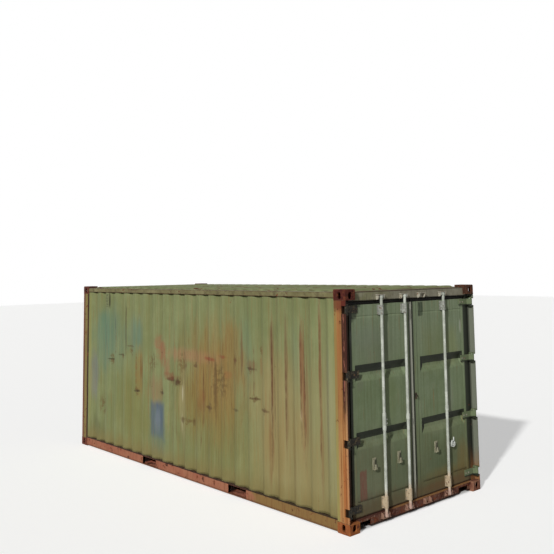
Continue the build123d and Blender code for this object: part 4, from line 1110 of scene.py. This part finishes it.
class ContainerLooks(bpy.types.PropertyGroup):
    """Colours of the container's paint, rust and dirt."""

    side_green: colour("Side green", 0x737A50, "Faded paint of the long walls")
    door_green: colour("Door green", 0x7C8A68, "Paint of the two doors")
    inside: colour("Inside", 0xB4B0A0, "Paint of the inside")
    post_orange: colour("Post orange", 0xA87A4A, "Primer and rust of the near door post")
    rod_pale: colour("Rod pale", 0xA8ACA0, "Zinc of the lock rods")
    rust_dark: colour("Dark rust", 0x3C1E16, "Oldest rust")
    rust_middle: colour("Middle rust", 0x6E3A24, "Common rust")
    rust_bright: colour("Bright rust", 0x9A5A34, "Fresh rust")
    dark_gap: colour("Dark gap", 0x1C1A18, "Rubber of the door seals")
    timber: colour("Timber", 0x7A5C3E, "Plywood of the floor")


class ContainerSizes(bpy.types.PropertyGroup):
    """Sizes of the pressed sheets and their damage."""

    wave_pitch: length("Side wave pitch", 0.278, "From one crest of the long walls to the next")
    wave_flat: length("Side wave flat", 0.072, "Width of a crest of the long walls")
    wave_slope: length("Side wave slope", 0.068, "Run of the slope between crest and valley")
    wave_depth: length("Side wave depth", 0.036, "From crest to valley of the long walls")
    bend: length("Bend", 0.022, "Length over which a bend of a long wall is rounded")
    sheet: length("Sheet", 0.002, "Thickness of the pressed sheets")
    dent_depth: number("Dent depth", 1.0, "Share of the left wall's usual dents", min=0.0, max=2.0)
    front_pitch: length("Front wave pitch", 0.250, "From one crest of the front wall to the next")
    front_flat: length("Front wave flat", 0.106, "Width of a crest of the front wall")
    front_slope: length("Front wave slope", 0.020, "Run of the slope of the front wall")
    front_depth: length("Front wave depth", 0.044, "From crest to valley of the front wall")
    rib_pitch: length("Roof rib pitch", 0.209, "From one rib of the roof to the next")
    rib_height: length("Roof rib height", 0.020, "Height of the ribs of the roof")
    groove_depth: length("Groove depth", 0.036, "Depth of the two grooves across each door")
    panel_recess: length("Panel recess", 0.003, "How far a door's sheet lies behind its frame")


class ContainerStage(bpy.types.PropertyGroup):
    """Camera and light of the picture."""

    focal_pixels: number("Focal length", 738.0, "In pixels of the picture", min=100.0)
    yaw: number("Camera turn", 0.739, "From facing -X towards +Y", subtype="ANGLE")
    pitch: number("Camera tilt", 0.098, "Above level", subtype="ANGLE")
    roll: number("Camera roll", -0.014, "About its own line of sight", subtype="ANGLE")
    middle: numbers("Optical centre", (288.68, 198.73), "In pixels from the picture's top left")
    place: numbers("Camera place", (8.6034, -7.104, 2.7963), "In metres", unit="LENGTH", subtype="XYZ")
    key_from: numbers("Key direction", (0.335, -0.80, 0.49), "Towards the key lamp", subtype="XYZ")
    key_strength: number("Key strength", 3.12, "Strength of the key lamp", min=0.0)
    key_size: number("Key size", math.radians(2.5), "Angle that softens shadows", subtype="ANGLE")
    fill_strength: number("Fill strength", 0.05, "Strength of the even light from all round", min=0.0)
    floor_colour: colour("Floor colour", 0xDADAD8, "Colour of the studio floor")
    floor_glow: number("Floor glow", 0.48, "How much whiter the floor looks than it is", min=0.0)


# Operators, one for each group of pieces


class CONTAINER_OT_stage(bpy.types.Operator):
    """Sets the camera, the lamp, the even light and the pale floor."""

    bl_idname = "container.stage"
    bl_label = "Stage"

    floor_half = 60.0
    floor_sink = 0.001
    lamp_away = 12

    def execute(self, context):
        stage, scene = settings("stage"), context.scene
        scene.view_settings.view_transform = "Standard"
        scene.camera = self.camera(stage)
        lamp = bpy.data.lights.new("key_lamp", "SUN")
        lamp.energy, lamp.angle = stage.key_strength, stage.key_size
        towards = np.array(stage.key_from)
        self.aimed("key_lamp", lamp, -towards, 0.0, towards * self.lamp_away)
        scene.world = self.world(stage)
        self.floor(stage)
        return {"FINISHED"}

    def aimed(self, name, data, ahead, roll, place):
        """An object whose -Z looks ahead, rolled about that line."""
        ahead = ahead / np.linalg.norm(ahead)
        right = np.cross(ahead, UP)
        right /= np.linalg.norm(right)
        above = np.cross(right, ahead)
        matrix = np.eye(4)
        matrix[:3, 0] = math.cos(roll) * right + math.sin(roll) * above
        matrix[:3, 1] = math.cos(roll) * above - math.sin(roll) * right
        matrix[:3, 2], matrix[:3, 3] = -ahead, place
        made = bpy.data.objects.new(name, data)
        made.matrix_world = Matrix(matrix.tolist())
        bpy.context.scene.collection.objects.link(made)
        return made

    def camera(self, stage):
        """The camera, where the photograph was taken from."""
        lens = bpy.data.cameras.new("camera")
        lens.sensor_width = 36.0
        lens.lens = stage.focal_pixels * lens.sensor_width / PHOTO_WIDTH
        lens.shift_x = 0.5 - stage.middle[0] / PHOTO_WIDTH
        lens.shift_y = stage.middle[1] / PHOTO_WIDTH - 0.5
        lens.clip_end = 300.0
        level = math.cos(stage.pitch)
        ahead = -math.cos(stage.yaw) * level, math.sin(stage.yaw) * level, math.sin(stage.pitch)
        return self.aimed("camera", lens, np.array(ahead), stage.roll, np.array(stage.place))

    def world(self, stage):
        """Even light all round, which the camera and mirrors see as white."""
        world = bpy.data.worlds.new("studio")
        world.use_nodes = True
        world.node_tree.nodes.clear()
        made = Nodes(world.node_tree)
        strength = made.blend(made.seen(), stage.fill_strength, 1.0)
        light = made.add("Background", {"Color": (1, 1, 1, 1), "Strength": strength})
        made.add("OutputWorld", {"Surface": light.outputs[0]})
        return world

    def floor(self, stage):
        """A flat floor that looks whiter than it is, except under the container."""
        paint = Finish("studio_floor", stage.floor_colour, 0.9)
        (x0, y0, _), (x1, y1, _) = CAD_BOX
        inset, soft = 0.05, 0.04
        under = paint.times(
            paint.span("X", x0 + inset, x1 - inset, soft), paint.span("Y", y0 + inset, y1 - inset, soft)
        )
        glow = paint.times(paint.times(paint.seen(), paint.rest(under)), stage.floor_glow)
        mesh = bpy.data.meshes.new("studio_floor")
        reach = self.floor_half
        ring = [(-reach, -reach), (reach, -reach), (reach, reach), (-reach, reach)]
        mesh.from_pydata([(x, y, -self.floor_sink) for x, y in ring], [], [(0, 1, 2, 3)])
        mesh.materials.append(paint.done(glow))
        floor = bpy.data.objects.new("studio_floor", mesh)
        bpy.context.scene.collection.objects.link(floor)
        floor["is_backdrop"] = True


# Dents of the left wall, in millimetres: middle, height, half width, half height and depth
DENTS = (
    (-2110, 1452, 60, 80, 9), (-1767, 1524, 55, 70, 8), (-1526, 1617, 50, 90, 9), (-1342, 1023, 60, 60, 8),
    (-653, 1084, 60, 70, 9), (-395, 1292, 50, 80, 10), (-219, 1268, 45, 60, 9), (191, 1522, 60, 80, 10),
    (490, 1639, 55, 60, 9), (509, 1018, 60, 70, 9), (1, 781, 70, 40, 10), (1049, 1670, 50, 80, 9),
    (1370, 1585, 50, 70, 8), (1547, 1830, 45, 70, 8), (1443, 1242, 50, 60, 8), (1631, 1121, 45, 70, 7),
    (-120, 1560, 150, 200, 7), (760, 1400, 170, 220, 8), (-900, 1500, 160, 180, 6), (-2350, 700, 130, 200, 5),
)
# Its folds, in millimetres: both ends, each along and up, then half width and depth
CREASES = (
    (-1958, 1526, -1950, 2069, 14, 6), (-1650, 1548, -1640, 2235, 14, 6), (-1349, 1042, -1345, 1570, 14, 6),
    (-1171, 1042, -1175, 1570, 14, 6), (1174, 1630, 1174, 2004, 14, 5), (-144, 801, 1, 747, 18, 6),
    (1, 747, 143, 801, 18, 6), (620, 1000, 632, 1600, 14, 5),
)


def wall_wave(node):
    """Places along a wall's wave and its depth there in metres; it runs along X, or along Y in front."""
    sizes = settings("sizes")
    low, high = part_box(node)
    if node == "front_wall":
        shape = sizes.front_flat, sizes.front_slope, sizes.front_pitch, sizes.bend * 0.6
        along, wave = pressed_wave(low[1], high[1], *shape)
        return along, wave, sizes.front_depth
    shape = sizes.wave_flat, sizes.wave_slope, sizes.wave_pitch, sizes.bend
    along, wave = pressed_wave(low[0], high[0], *shape)
    return along, wave, sizes.wave_depth


def on_wall(node, along, depth, height):
    """Points of a wall: places along it, depths inwards from its outer face, and heights."""
    low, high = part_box(node)
    if node == "front_wall":
        return low[0] + depth, along, height
    side = -1 if node == "left_wall" else 1
    return along, side * (max(abs(low[1]), abs(high[1])) - depth), height


# In metres: where damage fades at a wall's ends and at its head, how deep the sheet buckles,
# and how deep a dent is once its paint is fully bruised
EDGE_REACH, HEAD_REACH = 0.12, 0.15
WALL_BUCKLE = 0.0018
BRUISED = 0.008


def wall_sheet(node, rows, buckle, paint, dents=(), folds=()):
    """A wall: its depth is that of its wave, and away from its edges that of its dents and buckles."""
    sizes = settings("sizes")
    low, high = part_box(node)
    along, wave, deep = wall_wave(node)
    grid, up = np.meshgrid(along, np.linspace(low[2], high[2], rows))
    inside = faded_edge(grid, along[0], along[-1], EDGE_REACH) * faded_edge(up, low[2], high[2], HEAD_REACH)
    pressed = (bumps(grid, up, dents) + creases(grid, up, folds)) * sizes.dent_depth
    pressed = pressed + WALL_BUCKLE * (1 + ripple(grid, up, *buckle))
    depth = deep * wave[None] + pressed * inside
    face = np.stack(on_wall(node, grid, depth, up), -1)
    back = np.stack(on_wall(node, grid, depth + sizes.sheet, up), -1)
    marks = {"wave": np.broadcast_to(wave, grid.shape)}
    if len(dents):
        marks["bruise"] = np.clip(np.abs(pressed) / BRUISED, 0, 1) * inside
    bent_sheet(face, back, marks).piece(node + "_sheet", "container", [paint, inner_paint()], node)


class CONTAINER_OT_walls(bpy.types.Operator):
    """Presses the two long walls, the left one with its dents and folds, and the front wall."""

    bl_idname = "container.walls"
    bl_label = "Walls"

    def execute(self, context):
        wall_sheet("left_wall", 88, (0.9, 1.0), left_wall_paint(), DENTS, CREASES)
        wall_sheet("right_wall", 40, (0.9, 3.0), plain_wall_paint("right_wall", 5.0))
        wall_sheet("front_wall", 36, (0.8, 4.0), plain_wall_paint("front_wall", 9.0))
        return {"FINISHED"}


class CONTAINER_OT_roof(bpy.types.Operator):
    """Presses the roof: a flat sheet with a row of round-shouldered ribs across it."""

    bl_idname = "container.roof"
    bl_label = "Roof"

    half_base, run, half_rib, bend = 0.070, 0.032, 1.125, 0.012
    rib_places = np.array([-1, -0.85, -0.7, -0.5, -0.36, 0, 0.36, 0.5, 0.7, 0.85, 1])
    end_places = np.array([-0.008, 0.004, 0.012, 0.022, 0.032, 0.045])
    crown, sag_depth, sag_reach = 0.06, 0.0009, 0.2

    def execute(self, context):
        sizes = settings("sizes")
        low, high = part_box("roof")
        half = (high[1] - low[1]) / 2
        count = int((high[0] - low[0] - 2 * self.half_base) // sizes.rib_pitch) + 1
        middles = (np.arange(count) - (count - 1) / 2) * sizes.rib_pitch
        near = self.rib_places * (self.half_base + self.bend / 2)
        x = sorted_places(middles[:, None] + near, [low[0], high[0]])
        ends = self.half_rib - self.end_places
        between = np.linspace(-self.half_rib + self.crown, self.half_rib - self.crown, 15)
        y = np.unique(np.concatenate([-ends, ends, between, [-half, half]]))
        grid_x, grid_y = np.meshgrid(x, y, indexing="ij")

        def rib(at):
            return self.rise(self.half_base, np.abs(at[..., None] - middles).min(-1))

        across = rounded(rib, x, self.bend)
        along = rounded(lambda at: self.rise(self.half_rib, np.abs(at)), y, self.bend)
        height = sizes.rib_height * np.minimum(across[:, None], along[None])
        reach = self.sag_reach
        inside = faded_edge(grid_y, -half, half, reach) * faded_edge(grid_x, low[0], high[0], reach)
        sag = self.sag_depth * (ripple(grid_x, grid_y, 1.1, 5.0) - 1) * inside
        top = np.stack([grid_x, grid_y, low[2] + sizes.sheet + height + sag], -1)
        sheet = bent_sheet(top, top - (0, 0, sizes.sheet), {"wave": height / sizes.rib_height})
        sheet.piece("roof_sheet", "container", [roof_paint(), inner_paint()], "roof")
        return {"FINISHED"}

    def rise(self, half, apart):
        """1 on a rib's top and 0 beyond its foot, from the distance to its middle."""
        return np.clip((half - apart) / self.run, 0, 1)


class CONTAINER_OT_doors(bpy.types.Operator):
    """Presses the sheet of each door, with two grooves whose ends slope up to the face."""

    bl_idname = "container.doors"
    bl_label = "Door sheets"

    groove_tops = (1.754, 1.028)
    groove_slope = 0.064
    groove_flat = 0.060
    end_slope = 0.034
    end_margin = 0.012
    bend = 0.012
    buckle_depth, buckle_reach = 0.0012, 0.1
    seal_lap = 0.004

    def execute(self, context):
        for side, away in SIDES.items():
            self.sheet(side, away)
            self.gasket(side)
        return {"FINISHED"}

    def sheet(self, side, away):
        """x = face - recess - depth * min(groove(z), end(y)), both clipped slopes with rounded bends."""
        sizes = settings("sizes")
        low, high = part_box(side + "_door_panel")
        near = np.array([-0.5, -0.22, 0, 0.22, 0.5]) * self.bend
        steps = np.linspace(0, 1, 8)[1:-1]
        grooves = [(top, top - 2 * self.groove_slope - self.groove_flat) for top in self.groove_tops]
        slopes = np.array([
            pair for top, foot in grooves
            for pair in ((top, top - self.groove_slope), (foot + self.groove_slope, foot))
        ])
        on_slopes = slopes[:, :1] + np.diff(slopes, axis=1) * steps
        z = sorted_places(slopes.reshape(-1, 1) + near, on_slopes, np.linspace(low[2], high[2], 60))
        first, last = low[1] + self.end_margin, high[1] - self.end_margin
        ends = np.array([[first, first + self.end_slope], [last - self.end_slope, last]])
        on_ends = ends[:, :1] + np.diff(ends, axis=1) * steps
        y_lee = ends[0, 1] + np.linspace(0.01, 0.07, 7)
        y = sorted_places(ends.reshape(-1, 1) + near, on_ends, y_lee, np.linspace(low[1], high[1], 26))

        def groove_at(place):
            rises = [np.minimum(top - place, place - foot) / self.groove_slope for top, foot in grooves]
            return np.max(np.clip(rises, 0, 1), axis=0)

        def end_at(place):
            return np.clip(np.minimum(place - first, last - place) / self.end_slope, 0, 1)

        rise = rounded(groove_at, z, self.bend)[:, None]
        pressed = np.minimum(rise, rounded(end_at, y, self.bend)[None])
        grid_y, grid_z = np.meshgrid(y, z)
        reach = self.buckle_reach
        inside = faded_edge(grid_y, low[1], high[1], reach) * faded_edge(grid_z, low[2], high[2], reach)
        depth = sizes.panel_recess + (sizes.groove_depth - sizes.panel_recess) * pressed
        depth = depth + self.buckle_depth * (1 + ripple(grid_y, grid_z, 0.6, 3.0 + low[1])) * inside
        face = np.stack([high[0] - depth, grid_y, grid_z], -1)
        # Where the door's painted shade goes: the upper slope of each groove, and a painted shadow at each
        # groove's near end that widens downwards
        lee = np.max([
            smooth_ramp(-z, -top - 0.002, -top + 0.008) * smooth_ramp(z, foot + 0.092, foot + 0.116)
            for top, foot in grooves
        ], axis=0)
        near_end = smooth_ramp(first + 0.085 * rise - grid_y, 0.0, 0.012) * smooth_ramp(rise, 0.1, 0.4)
        lee = np.maximum(lee[:, None], near_end) * smooth_ramp(pressed, 0.0, 0.05)
        sheet = bent_sheet(face, face - (sizes.sheet, 0, 0), {"lee": lee})
        paints = [door_paint(side + "_sheet_paint", away), inner_paint()]
        sheet.piece(side + "_door_sheet", side + "_door", paints, side + "_door_panel")

    def gasket(self, side):
        """A rubber profile with two lips, carried round the leaf: corner + share * (outer - inner)."""
        frame_low, frame_high = corners(side + "_door_frame")
        low, high = corners(side + "_door_gasket")
        inner = np.stack([frame_low + self.seal_lap, frame_high - self.seal_lap])
        outer = np.stack([low, high])
        share = np.array([0, 0.35, 0.6, 0.75, 0.9, 1, 0.94, 0.78, 0.74, 0.94, 1, 0.9, 0.75, 0.5, 0])
        depth = np.array([0, 0, 0, 1.2, 0, 3, 5, 6.5, 10, 11.5, 14, 18, 16.5, 18, 18]) / 18
        edge = inner + share[:, None, None] * (outer - inner)
        x = low[0] + depth * (high[0] - low[0])
        ring = [(0, 0), (1, 0), (1, 1), (0, 1)]
        rubber = Shape()
        loops = np.array([np.stack([x, edge[:, a, 1], edge[:, b, 2]], -1) for a, b in ring])
        rubber.grid(loops, close_u=True, smooth=False)
        rubber.piece(side + "_door_seal", side + "_door", [rubber_finish()], side + "_door_gasket")


class CONTAINER_OT_floor(bpy.types.Operator):
    """Lays the plywood boards with their joints, the steel strip down the middle and the screws."""

    bl_idname = "container.floor"
    bl_label = "Floor boards"

    rows_of_boards = 5
    half_strip, gap, bevel = 0.020, 0.002, 0.002
    screw_radius, screw_sink, screw_lines = 0.008, 0.0012, 6
    strip_drop, screw_from_end, screw_from_strip, screw_from_wall = 0.001, 0.03, 0.04, 0.05

    def execute(self, context):
        low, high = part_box("floor")
        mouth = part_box("left_door_post")[0][0]
        mouth_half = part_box("door_sill")[1][1] - self.gap
        strip, gap = self.half_strip, self.gap
        ends = np.linspace(low[0], mouth, self.rows_of_boards + 1)
        pairs = list(zip(ends[:-1], ends[1:]))
        boards = Shape()
        for start, stop in pairs:
            for near, far in ((low[1], -strip), (strip, high[1])):
                slab(boards, (start + gap / 2, near, low[2]), (stop - gap / 2, far, high[2]), self.bevel)
        slab(boards, (mouth, -mouth_half, low[2]), (high[0], mouth_half, high[2]), self.bevel)
        top = (mouth - gap, strip - gap, high[2] - self.strip_drop)
        slab(boards, (low[0], gap - strip, low[2]), top, self.bevel, finish=1)
        inset = self.screw_from_end
        rows = np.ravel([(start + inset, (start + stop) / 2, stop - inset) for start, stop in pairs])
        outer = high[1] - self.screw_from_wall
        half_lines = np.linspace(strip + self.screw_from_strip, outer, self.screw_lines)
        screws = np.stack(np.meshgrid(rows, np.concatenate([-half_lines, half_lines])), -1).reshape(-1, 2)
        places = np.column_stack([screws, np.full(len(screws), high[2] - self.screw_sink)])
        rivet_heads(boards, places, UP, self.screw_radius, finish=1)
        paints = [board_finish(), dark_steel("floor_steel").done()]
        boards.piece("floor_boards", "container", paints, "floor")
        return {"FINISHED"}


class CONTAINER_OT_vents(bpy.types.Operator):
    """Moulds the two vent covers: a raised panel with a row of louvres."""

    bl_idname = "container.vents"
    bl_label = "Vents"

    rim, shoulder = 0.007, 0.006
    louvre_start, louvre_pitch, louvre_depth = 0.02, 0.024, 0.55
    frame_x, frame_z = 0.010, 0.016

    def execute(self, context):
        for side, away in SIDES.items():
            low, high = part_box(side + "_vent")
            near, far = (high[1], low[1]) if away < 0 else (low[1], high[1])
            x, z = self.fine(low[0], high[0], 3), self.fine(low[2], high[2], 40)
            grid_x, grid_z = np.meshgrid(x, z)
            across = np.minimum(grid_x - low[0], high[0] - grid_x)
            up = np.minimum(grid_z - low[2], high[2] - grid_z)
            rise = np.sqrt(np.clip(np.minimum(across, up) / self.shoulder, 0, 1))
            louvre = np.mod((grid_z - low[2] - self.louvre_start) / self.louvre_pitch, 1.0)
            inside = faded_edge(grid_x, low[0] + self.frame_x, high[0] - self.frame_x, 0.005)
            inside = inside * faded_edge(grid_z, low[2] + self.frame_z, high[2] - self.frame_z, 0.004)
            front = near + (far - near) * rise * (1 - self.louvre_depth * (1 - louvre) * inside)
            slot = smooth_ramp(louvre, 0.05, 0.3) * (1 - smooth_ramp(louvre, 0.3, 0.55)) * inside
            face = np.stack([grid_x, front, grid_z], -1)
            back = np.stack([grid_x, np.full_like(front, near), grid_z], -1)
            cover = bent_sheet(face, back, {"slot": slot}, inner=0, smooth=False)
            cover.piece(side + "_vent_cover", "container", [vent_paint(side)], side + "_vent")
        return {"FINISHED"}

    def fine(self, start, stop, count):
        """Places close together near both ends and even between them."""
        edge = np.array([0, 0.15, 0.4, 0.7, 1.0]) * self.rim
        between = np.linspace(start + self.rim, stop - self.rim, count + 2)
        return sorted_places(start + edge, stop - edge, between)


class CONTAINER_OT_fasteners(bpy.types.Operator):
    """Adds the bolt heads, the hinge pin caps, the clevis pin and the staple at the door gap."""

    bl_idname = "container.fasteners"
    bl_label = "Fasteners"

    rod_places = {"left": (0.590, 0.168), "right": (0.590,)}
    catch_places = {"left": (0.737, 0.305), "right": (0.392,)}
    catch_middle, catch_half_width, catch_half_height = 0.655, 0.022, 0.054
    flange_thick, flange_reach, catch_thick, strap_thick = 0.006, 0.031, 0.005, 0.010
    flange_from_foot, flange_from_head = (0.022, 0.103), (0.090, 0.020)
    bracket_bolt, strap_bolt, clevis_bolt, rivet = (0.0055, 0.006), (0.009, 0.008), (0.009, 0.006), 0.005
    strap_bolts = (0.985, 1.040)
    hinge_count, strap_half = 4, 0.040
    pin_x, pin_y = 3.007, 1.183
    clevis_place, clevis_half = (3.005, -0.558, 1.095), 0.029
    shank_radius, shank_past, shank_end = 0.006, 0.012, 0.001
    staple_y, staple_z, staple_radius = 0.036, 1.300, 0.0045

    def execute(self, context):
        steel = fitting_finish("bolt_steel", 0x8A8878, 7.0)
        dark = fitting_finish("dark_bolt_steel", 0x2A241C, 8.0)
        for side, away in SIDES.items():
            self.leaf(side, away, steel, dark)
            self.pin_caps(side, away, dark)
        self.clevis_pin(steel)
        self.staple(dark)
        return {"FINISHED"}

    def leaf(self, side, away, steel, dark):
        """Bolts through the flanges of the rod brackets, the catch plates and the hinge straps."""
        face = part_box(side + "_door_frame")[1][0]
        low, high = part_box(side + "_rod_brackets")
        rows = [low[2] + up for up in self.flange_from_foot]
        rows += [high[2] - down for down in self.flange_from_head]
        bolts, heads = Shape(), Shape()
        places = [
            (face + self.flange_thick, away * (place + offset * self.flange_reach), row)
            for place in self.rod_places[side] for offset in (-1, 1) for row in rows
        ]
        bolt_heads(bolts, places, OUT, *self.bracket_bolt)
        wide, high_half = self.catch_half_width, self.catch_half_height
        places = [
            (face + self.catch_thick, away * place + across * wide, self.catch_middle + up * high_half)
            for place in self.catch_places[side] for across in (-1, 1) for up in (-1, 1)
        ]
        rivet_heads(bolts, places, OUT, self.rivet)
        bolts.piece(side + "_leaf_bolts", side + "_door", [steel])
        places = [
            (face + self.strap_thick, away * across, row)
            for across in self.strap_bolts for row in self.hinge_rows(side)
        ]
        bolt_heads(heads, places, OUT, *self.strap_bolt)
        # The left straps' bolts take the dark steel as painted shade, like the left hinges
        heads.piece(side + "_strap_bolts", side + "_door", [dark if side == "left" else steel])

    def hinge_rows(self, side):
        """Heights of the hinges, from the straps' box."""
        low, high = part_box(side + "_hinge_straps")
        return np.linspace(low[2] + self.strap_half, high[2] - self.strap_half, self.hinge_count)

    def pin_caps(self, side, away, dark):
        """A low dome over each end of each hinge pin."""
        rows = self.hinge_rows(side)
        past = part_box(side + "_hinge_lugs")[1][2] - rows[-1]
        caps = Shape()
        dome = [(0.0, -0.001), (0.013, -0.001), (0.013, 0.001), (0.009, 0.0035), (0.0, 0.0045)]
        for end in (1, -1):
            places = [(self.pin_x, away * self.pin_y, row + end * past) for row in rows]
            turned(caps, dome, places, (0, 0, end))
        caps.piece(side + "_pin_caps", "container", [dark])

    def clevis_pin(self, steel):
        """The pin left in the clevis of the left outer rod, with a head above and a nut below."""
        x, y, z = self.clevis_place
        half = self.clevis_half
        pin = Shape()
        foot, top, radius = -half - self.shank_past, half + self.shank_end, self.shank_radius
        turned(pin, [(0.0, foot), (radius, foot), (radius, top), (0.0, top)], [(x, y, z)], UP)
        for end in (-1, 1):
            bolt_heads(pin, [(x, y, z + end * half)], (0, 0, end), *self.clevis_bolt)
        pin.piece("clevis_pin", "left_outer_lock_rod", [steel])

    def staple(self, dark):
        """A bent bar on a small plate: half a ring of radius 20 mm that stands off the right leaf."""
        middle = np.array([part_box("right_door_frame")[1][0], self.staple_y, self.staple_z])
        made = Shape()
        slab(made, middle + (-0.001, -0.016, -0.038), middle + (0.005, 0.016, 0.038), 0.002)
        turn = np.linspace(0, np.pi, 13)
        path = middle + np.stack([0.003 + 0.024 * np.sin(turn), 0 * turn, 0.020 * np.cos(turn)], -1)
        bead(made, path, self.staple_radius, (0, 1, 0))
        made.piece("door_staple", "right_door", [dark])


class CONTAINER_OT_welds(bpy.types.Operator):
    """Lays the weld beads along the walls' feet and heads, round the door sheets and at the posts."""

    bl_idname = "container.welds"
    bl_label = "Weld beads"

    sink, sheet_sink, into_rail, round_corner = 0.0005, 0.0004, 0.001, 0.010
    wall_bead, sheet_bead, post_bead = 0.0022, 0.0025, 0.0032

    def execute(self, context):
        for side, away in SIDES.items():
            self.wall_seams(side + "_wall", khaki_paint(side + "_seam", 0x6E6840))
            self.sheet_seam(side, door_paint(side + "_weld_paint", away))
        self.wall_seams("front_wall", khaki_paint("front_seam", 0x6E6840))
        self.post_seams(dark_steel("post_weld").done())
        return {"FINISHED"}

    def wall_seams(self, node, paint):
        """Beads that follow a wall's wave at its foot and its head."""
        low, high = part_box(node)
        along, wave, deep = wall_wave(node)
        seams = Shape()
        for height in (low[2] + self.into_rail, high[2] - self.into_rail):
            seam(seams, *on_wall(node, along, deep * wave - self.sink, height), self.wall_bead)
        seams.piece(node + "_welds", "container", [paint])

    def sheet_seam(self, side, paint):
        """A bead in the corner between a door's sheet and its frame, along all four edges."""
        low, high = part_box(side + "_door_panel")
        x = high[0] - settings("sizes").panel_recess + self.sheet_sink
        seams = Shape()
        for row in (low[2], high[2]):
            seam(seams, x, np.linspace(low[1], high[1], 60), row, self.sheet_bead, OUT)
        for column in (low[1], high[1]):
            seam(seams, x, column, np.linspace(low[2], high[2], 120), self.sheet_bead, OUT)
        seams.piece(side + "_sheet_welds", side + "_door", [paint])

    def post_seams(self, paint):
        """Beads where the posts meet the castings, along the long side and round to the end."""
        seams = Shape()
        for post in ("left_door_post", "right_door_post", "left_front_post", "right_front_post"):
            low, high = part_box(post)
            start, end = (low[0], high[0]) if high[0] > 0 else (high[0], low[0])
            out = high[1] if high[1] > 0 else low[1]
            x = np.append(np.linspace(start, end, 24), end)
            y = np.append(np.full(24, out), out - math.copysign(self.round_corner, out))
            for height in (low[2] + self.into_rail, high[2] - self.into_rail):
                seam(seams, x, y, height, self.post_bead)
        seams.piece("post_welds", "container", [paint])


# Main shade and worn shade of the castings that differ from the rest
CASTING_SHADES = {
    "door_left_bottom_casting": (0x8A4E2A, 0xA06434), "door_left_top_casting": (0x3C1612, 0x5C2A1E),
    "door_right_bottom_casting": (0x6E4636, 0x9A6E56), "front_left_bottom_casting": (0x5E3026, 0x6A3A2A),
    "door_right_top_casting": (0x3A2418, 0x5A3A28),
}


def put_on(material, *nodes):
    """Gives a CAD node's object a finish in place of what it came with."""
    for node in nodes:
        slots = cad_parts[node].data.materials
        slots.clear()
        slots.append(material)


class CONTAINER_OT_frame_finishes(bpy.types.Operator):
    """Paints and rusts the posts, rails, castings and fittings that keep their CAD shape."""

    bl_idname = "container.frame_finishes"
    bl_label = "Frame finishes"

    def execute(self, context):
        castings = sorted(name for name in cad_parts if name.endswith("_casting"))
        for count, name in enumerate(castings):
            put_on(casting_rust(name, *CASTING_SHADES.get(name, (0x4E2A22, 0x6A3A2A)), count * 2.3), name)
        put_on(near_post_paint(), "left_door_post")
        put_on(far_door_post_paint(), "right_door_post")
        for name in ("left_front_post", "right_front_post"):
            put_on(front_post_paint(name), name)
        for name in ("left_bottom_rail", "right_bottom_rail", "front_bottom_rail"):
            put_on(bottom_rail_paint(name), name)
        plates = ("rear_roof_plate", "front_roof_plate")
        for name in ("left_top_rail", "right_top_rail", "front_top_rail", *plates):
            put_on(khaki_paint(name, node=name), name)
        put_on(header_paint(), "door_header")
        put_on(sill_paint(), "door_sill")
        put_on(rod_finish(), "left_outer_lock_rod", "left_inner_lock_rod", "right_outer_lock_rod")
        put_on(bracket_finish(), "left_rod_brackets", "right_rod_brackets")
        put_on(fitting_finish("header_keeper_paint", 0xA8A494, 1.0), "header_keepers")
        put_on(fitting_finish("sill_keeper_paint", 0x8E6C5C, 2.0, 0.56), "sill_keepers")
        # Near-black paint of the left hinges: painted shade, with rust spots
        left_hinge = fitting_finish("left_hinge_shade_and_rust", 0x1C1A14, 4.0, 0.66)
        for side, away in SIDES.items():
            put_on(catch_finish(side + "_catch_paint"), side + "_handle_catches")
            put_on(door_paint(side + "_leaf_paint", away), side + "_door_frame")
            hinge = left_hinge if side == "left" else right_hinge_paint()
            put_on(hinge, side + "_hinge_straps", side + "_hinge_lugs")
        put_on(dark_steel("under_steel").done(), "cross_members")
        put_on(pocket_steel(), "front_fork_pocket", "rear_fork_pocket")
        return {"FINISHED"}


class CONTAINER_PT_pieces(bpy.types.Panel):
    """Lists the container's operators and the main settings."""

    bl_idname = "CONTAINER_PT_pieces"
    bl_label = "Freight container"
    bl_space_type = "VIEW_3D"
    bl_region_type = "UI"
    bl_category = "Container"

    def draw(self, context):
        for operator in OPERATORS:
            self.layout.operator(operator.bl_idname)
        for name in GROUPS_OF_SETTINGS:
            column = self.layout.column()
            for entry in settings(name).bl_rna.properties:
                if entry.identifier not in ("rna_type", "name"):
                    column.prop(settings(name), entry.identifier)


GROUPS_OF_SETTINGS = {"looks": ContainerLooks, "sizes": ContainerSizes, "stage": ContainerStage}
OPERATORS = (
    CONTAINER_OT_stage, CONTAINER_OT_walls, CONTAINER_OT_roof, CONTAINER_OT_doors, CONTAINER_OT_floor,
    CONTAINER_OT_vents, CONTAINER_OT_fasteners, CONTAINER_OT_welds, CONTAINER_OT_frame_finishes,
)
CLASSES = (*GROUPS_OF_SETTINGS.values(), *OPERATORS, CONTAINER_PT_pieces)


def register():
    """Registers the classes and hangs the settings on the scene."""
    for entry in CLASSES:
        bpy.utils.register_class(entry)
    for name, group in GROUPS_OF_SETTINGS.items():
        setattr(bpy.types.Scene, "container_" + name, PointerProperty(type=group))


def unregister():
    """Takes off what register put on."""
    for name in GROUPS_OF_SETTINGS:
        delattr(bpy.types.Scene, "container_" + name)
    for entry in reversed(CLASSES):
        bpy.utils.unregister_class(entry)


def main():
    """Registers the add-on, builds every group of pieces in order and works out the sizes."""
    register()
    for operator in OPERATORS:
        group, name = operator.bl_idname.split(".")
        getattr(getattr(bpy.ops, group), name)()
    sizes = {"cad": CAD_BOX, "visual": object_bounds()}


if __name__ == "__main__":
    main()
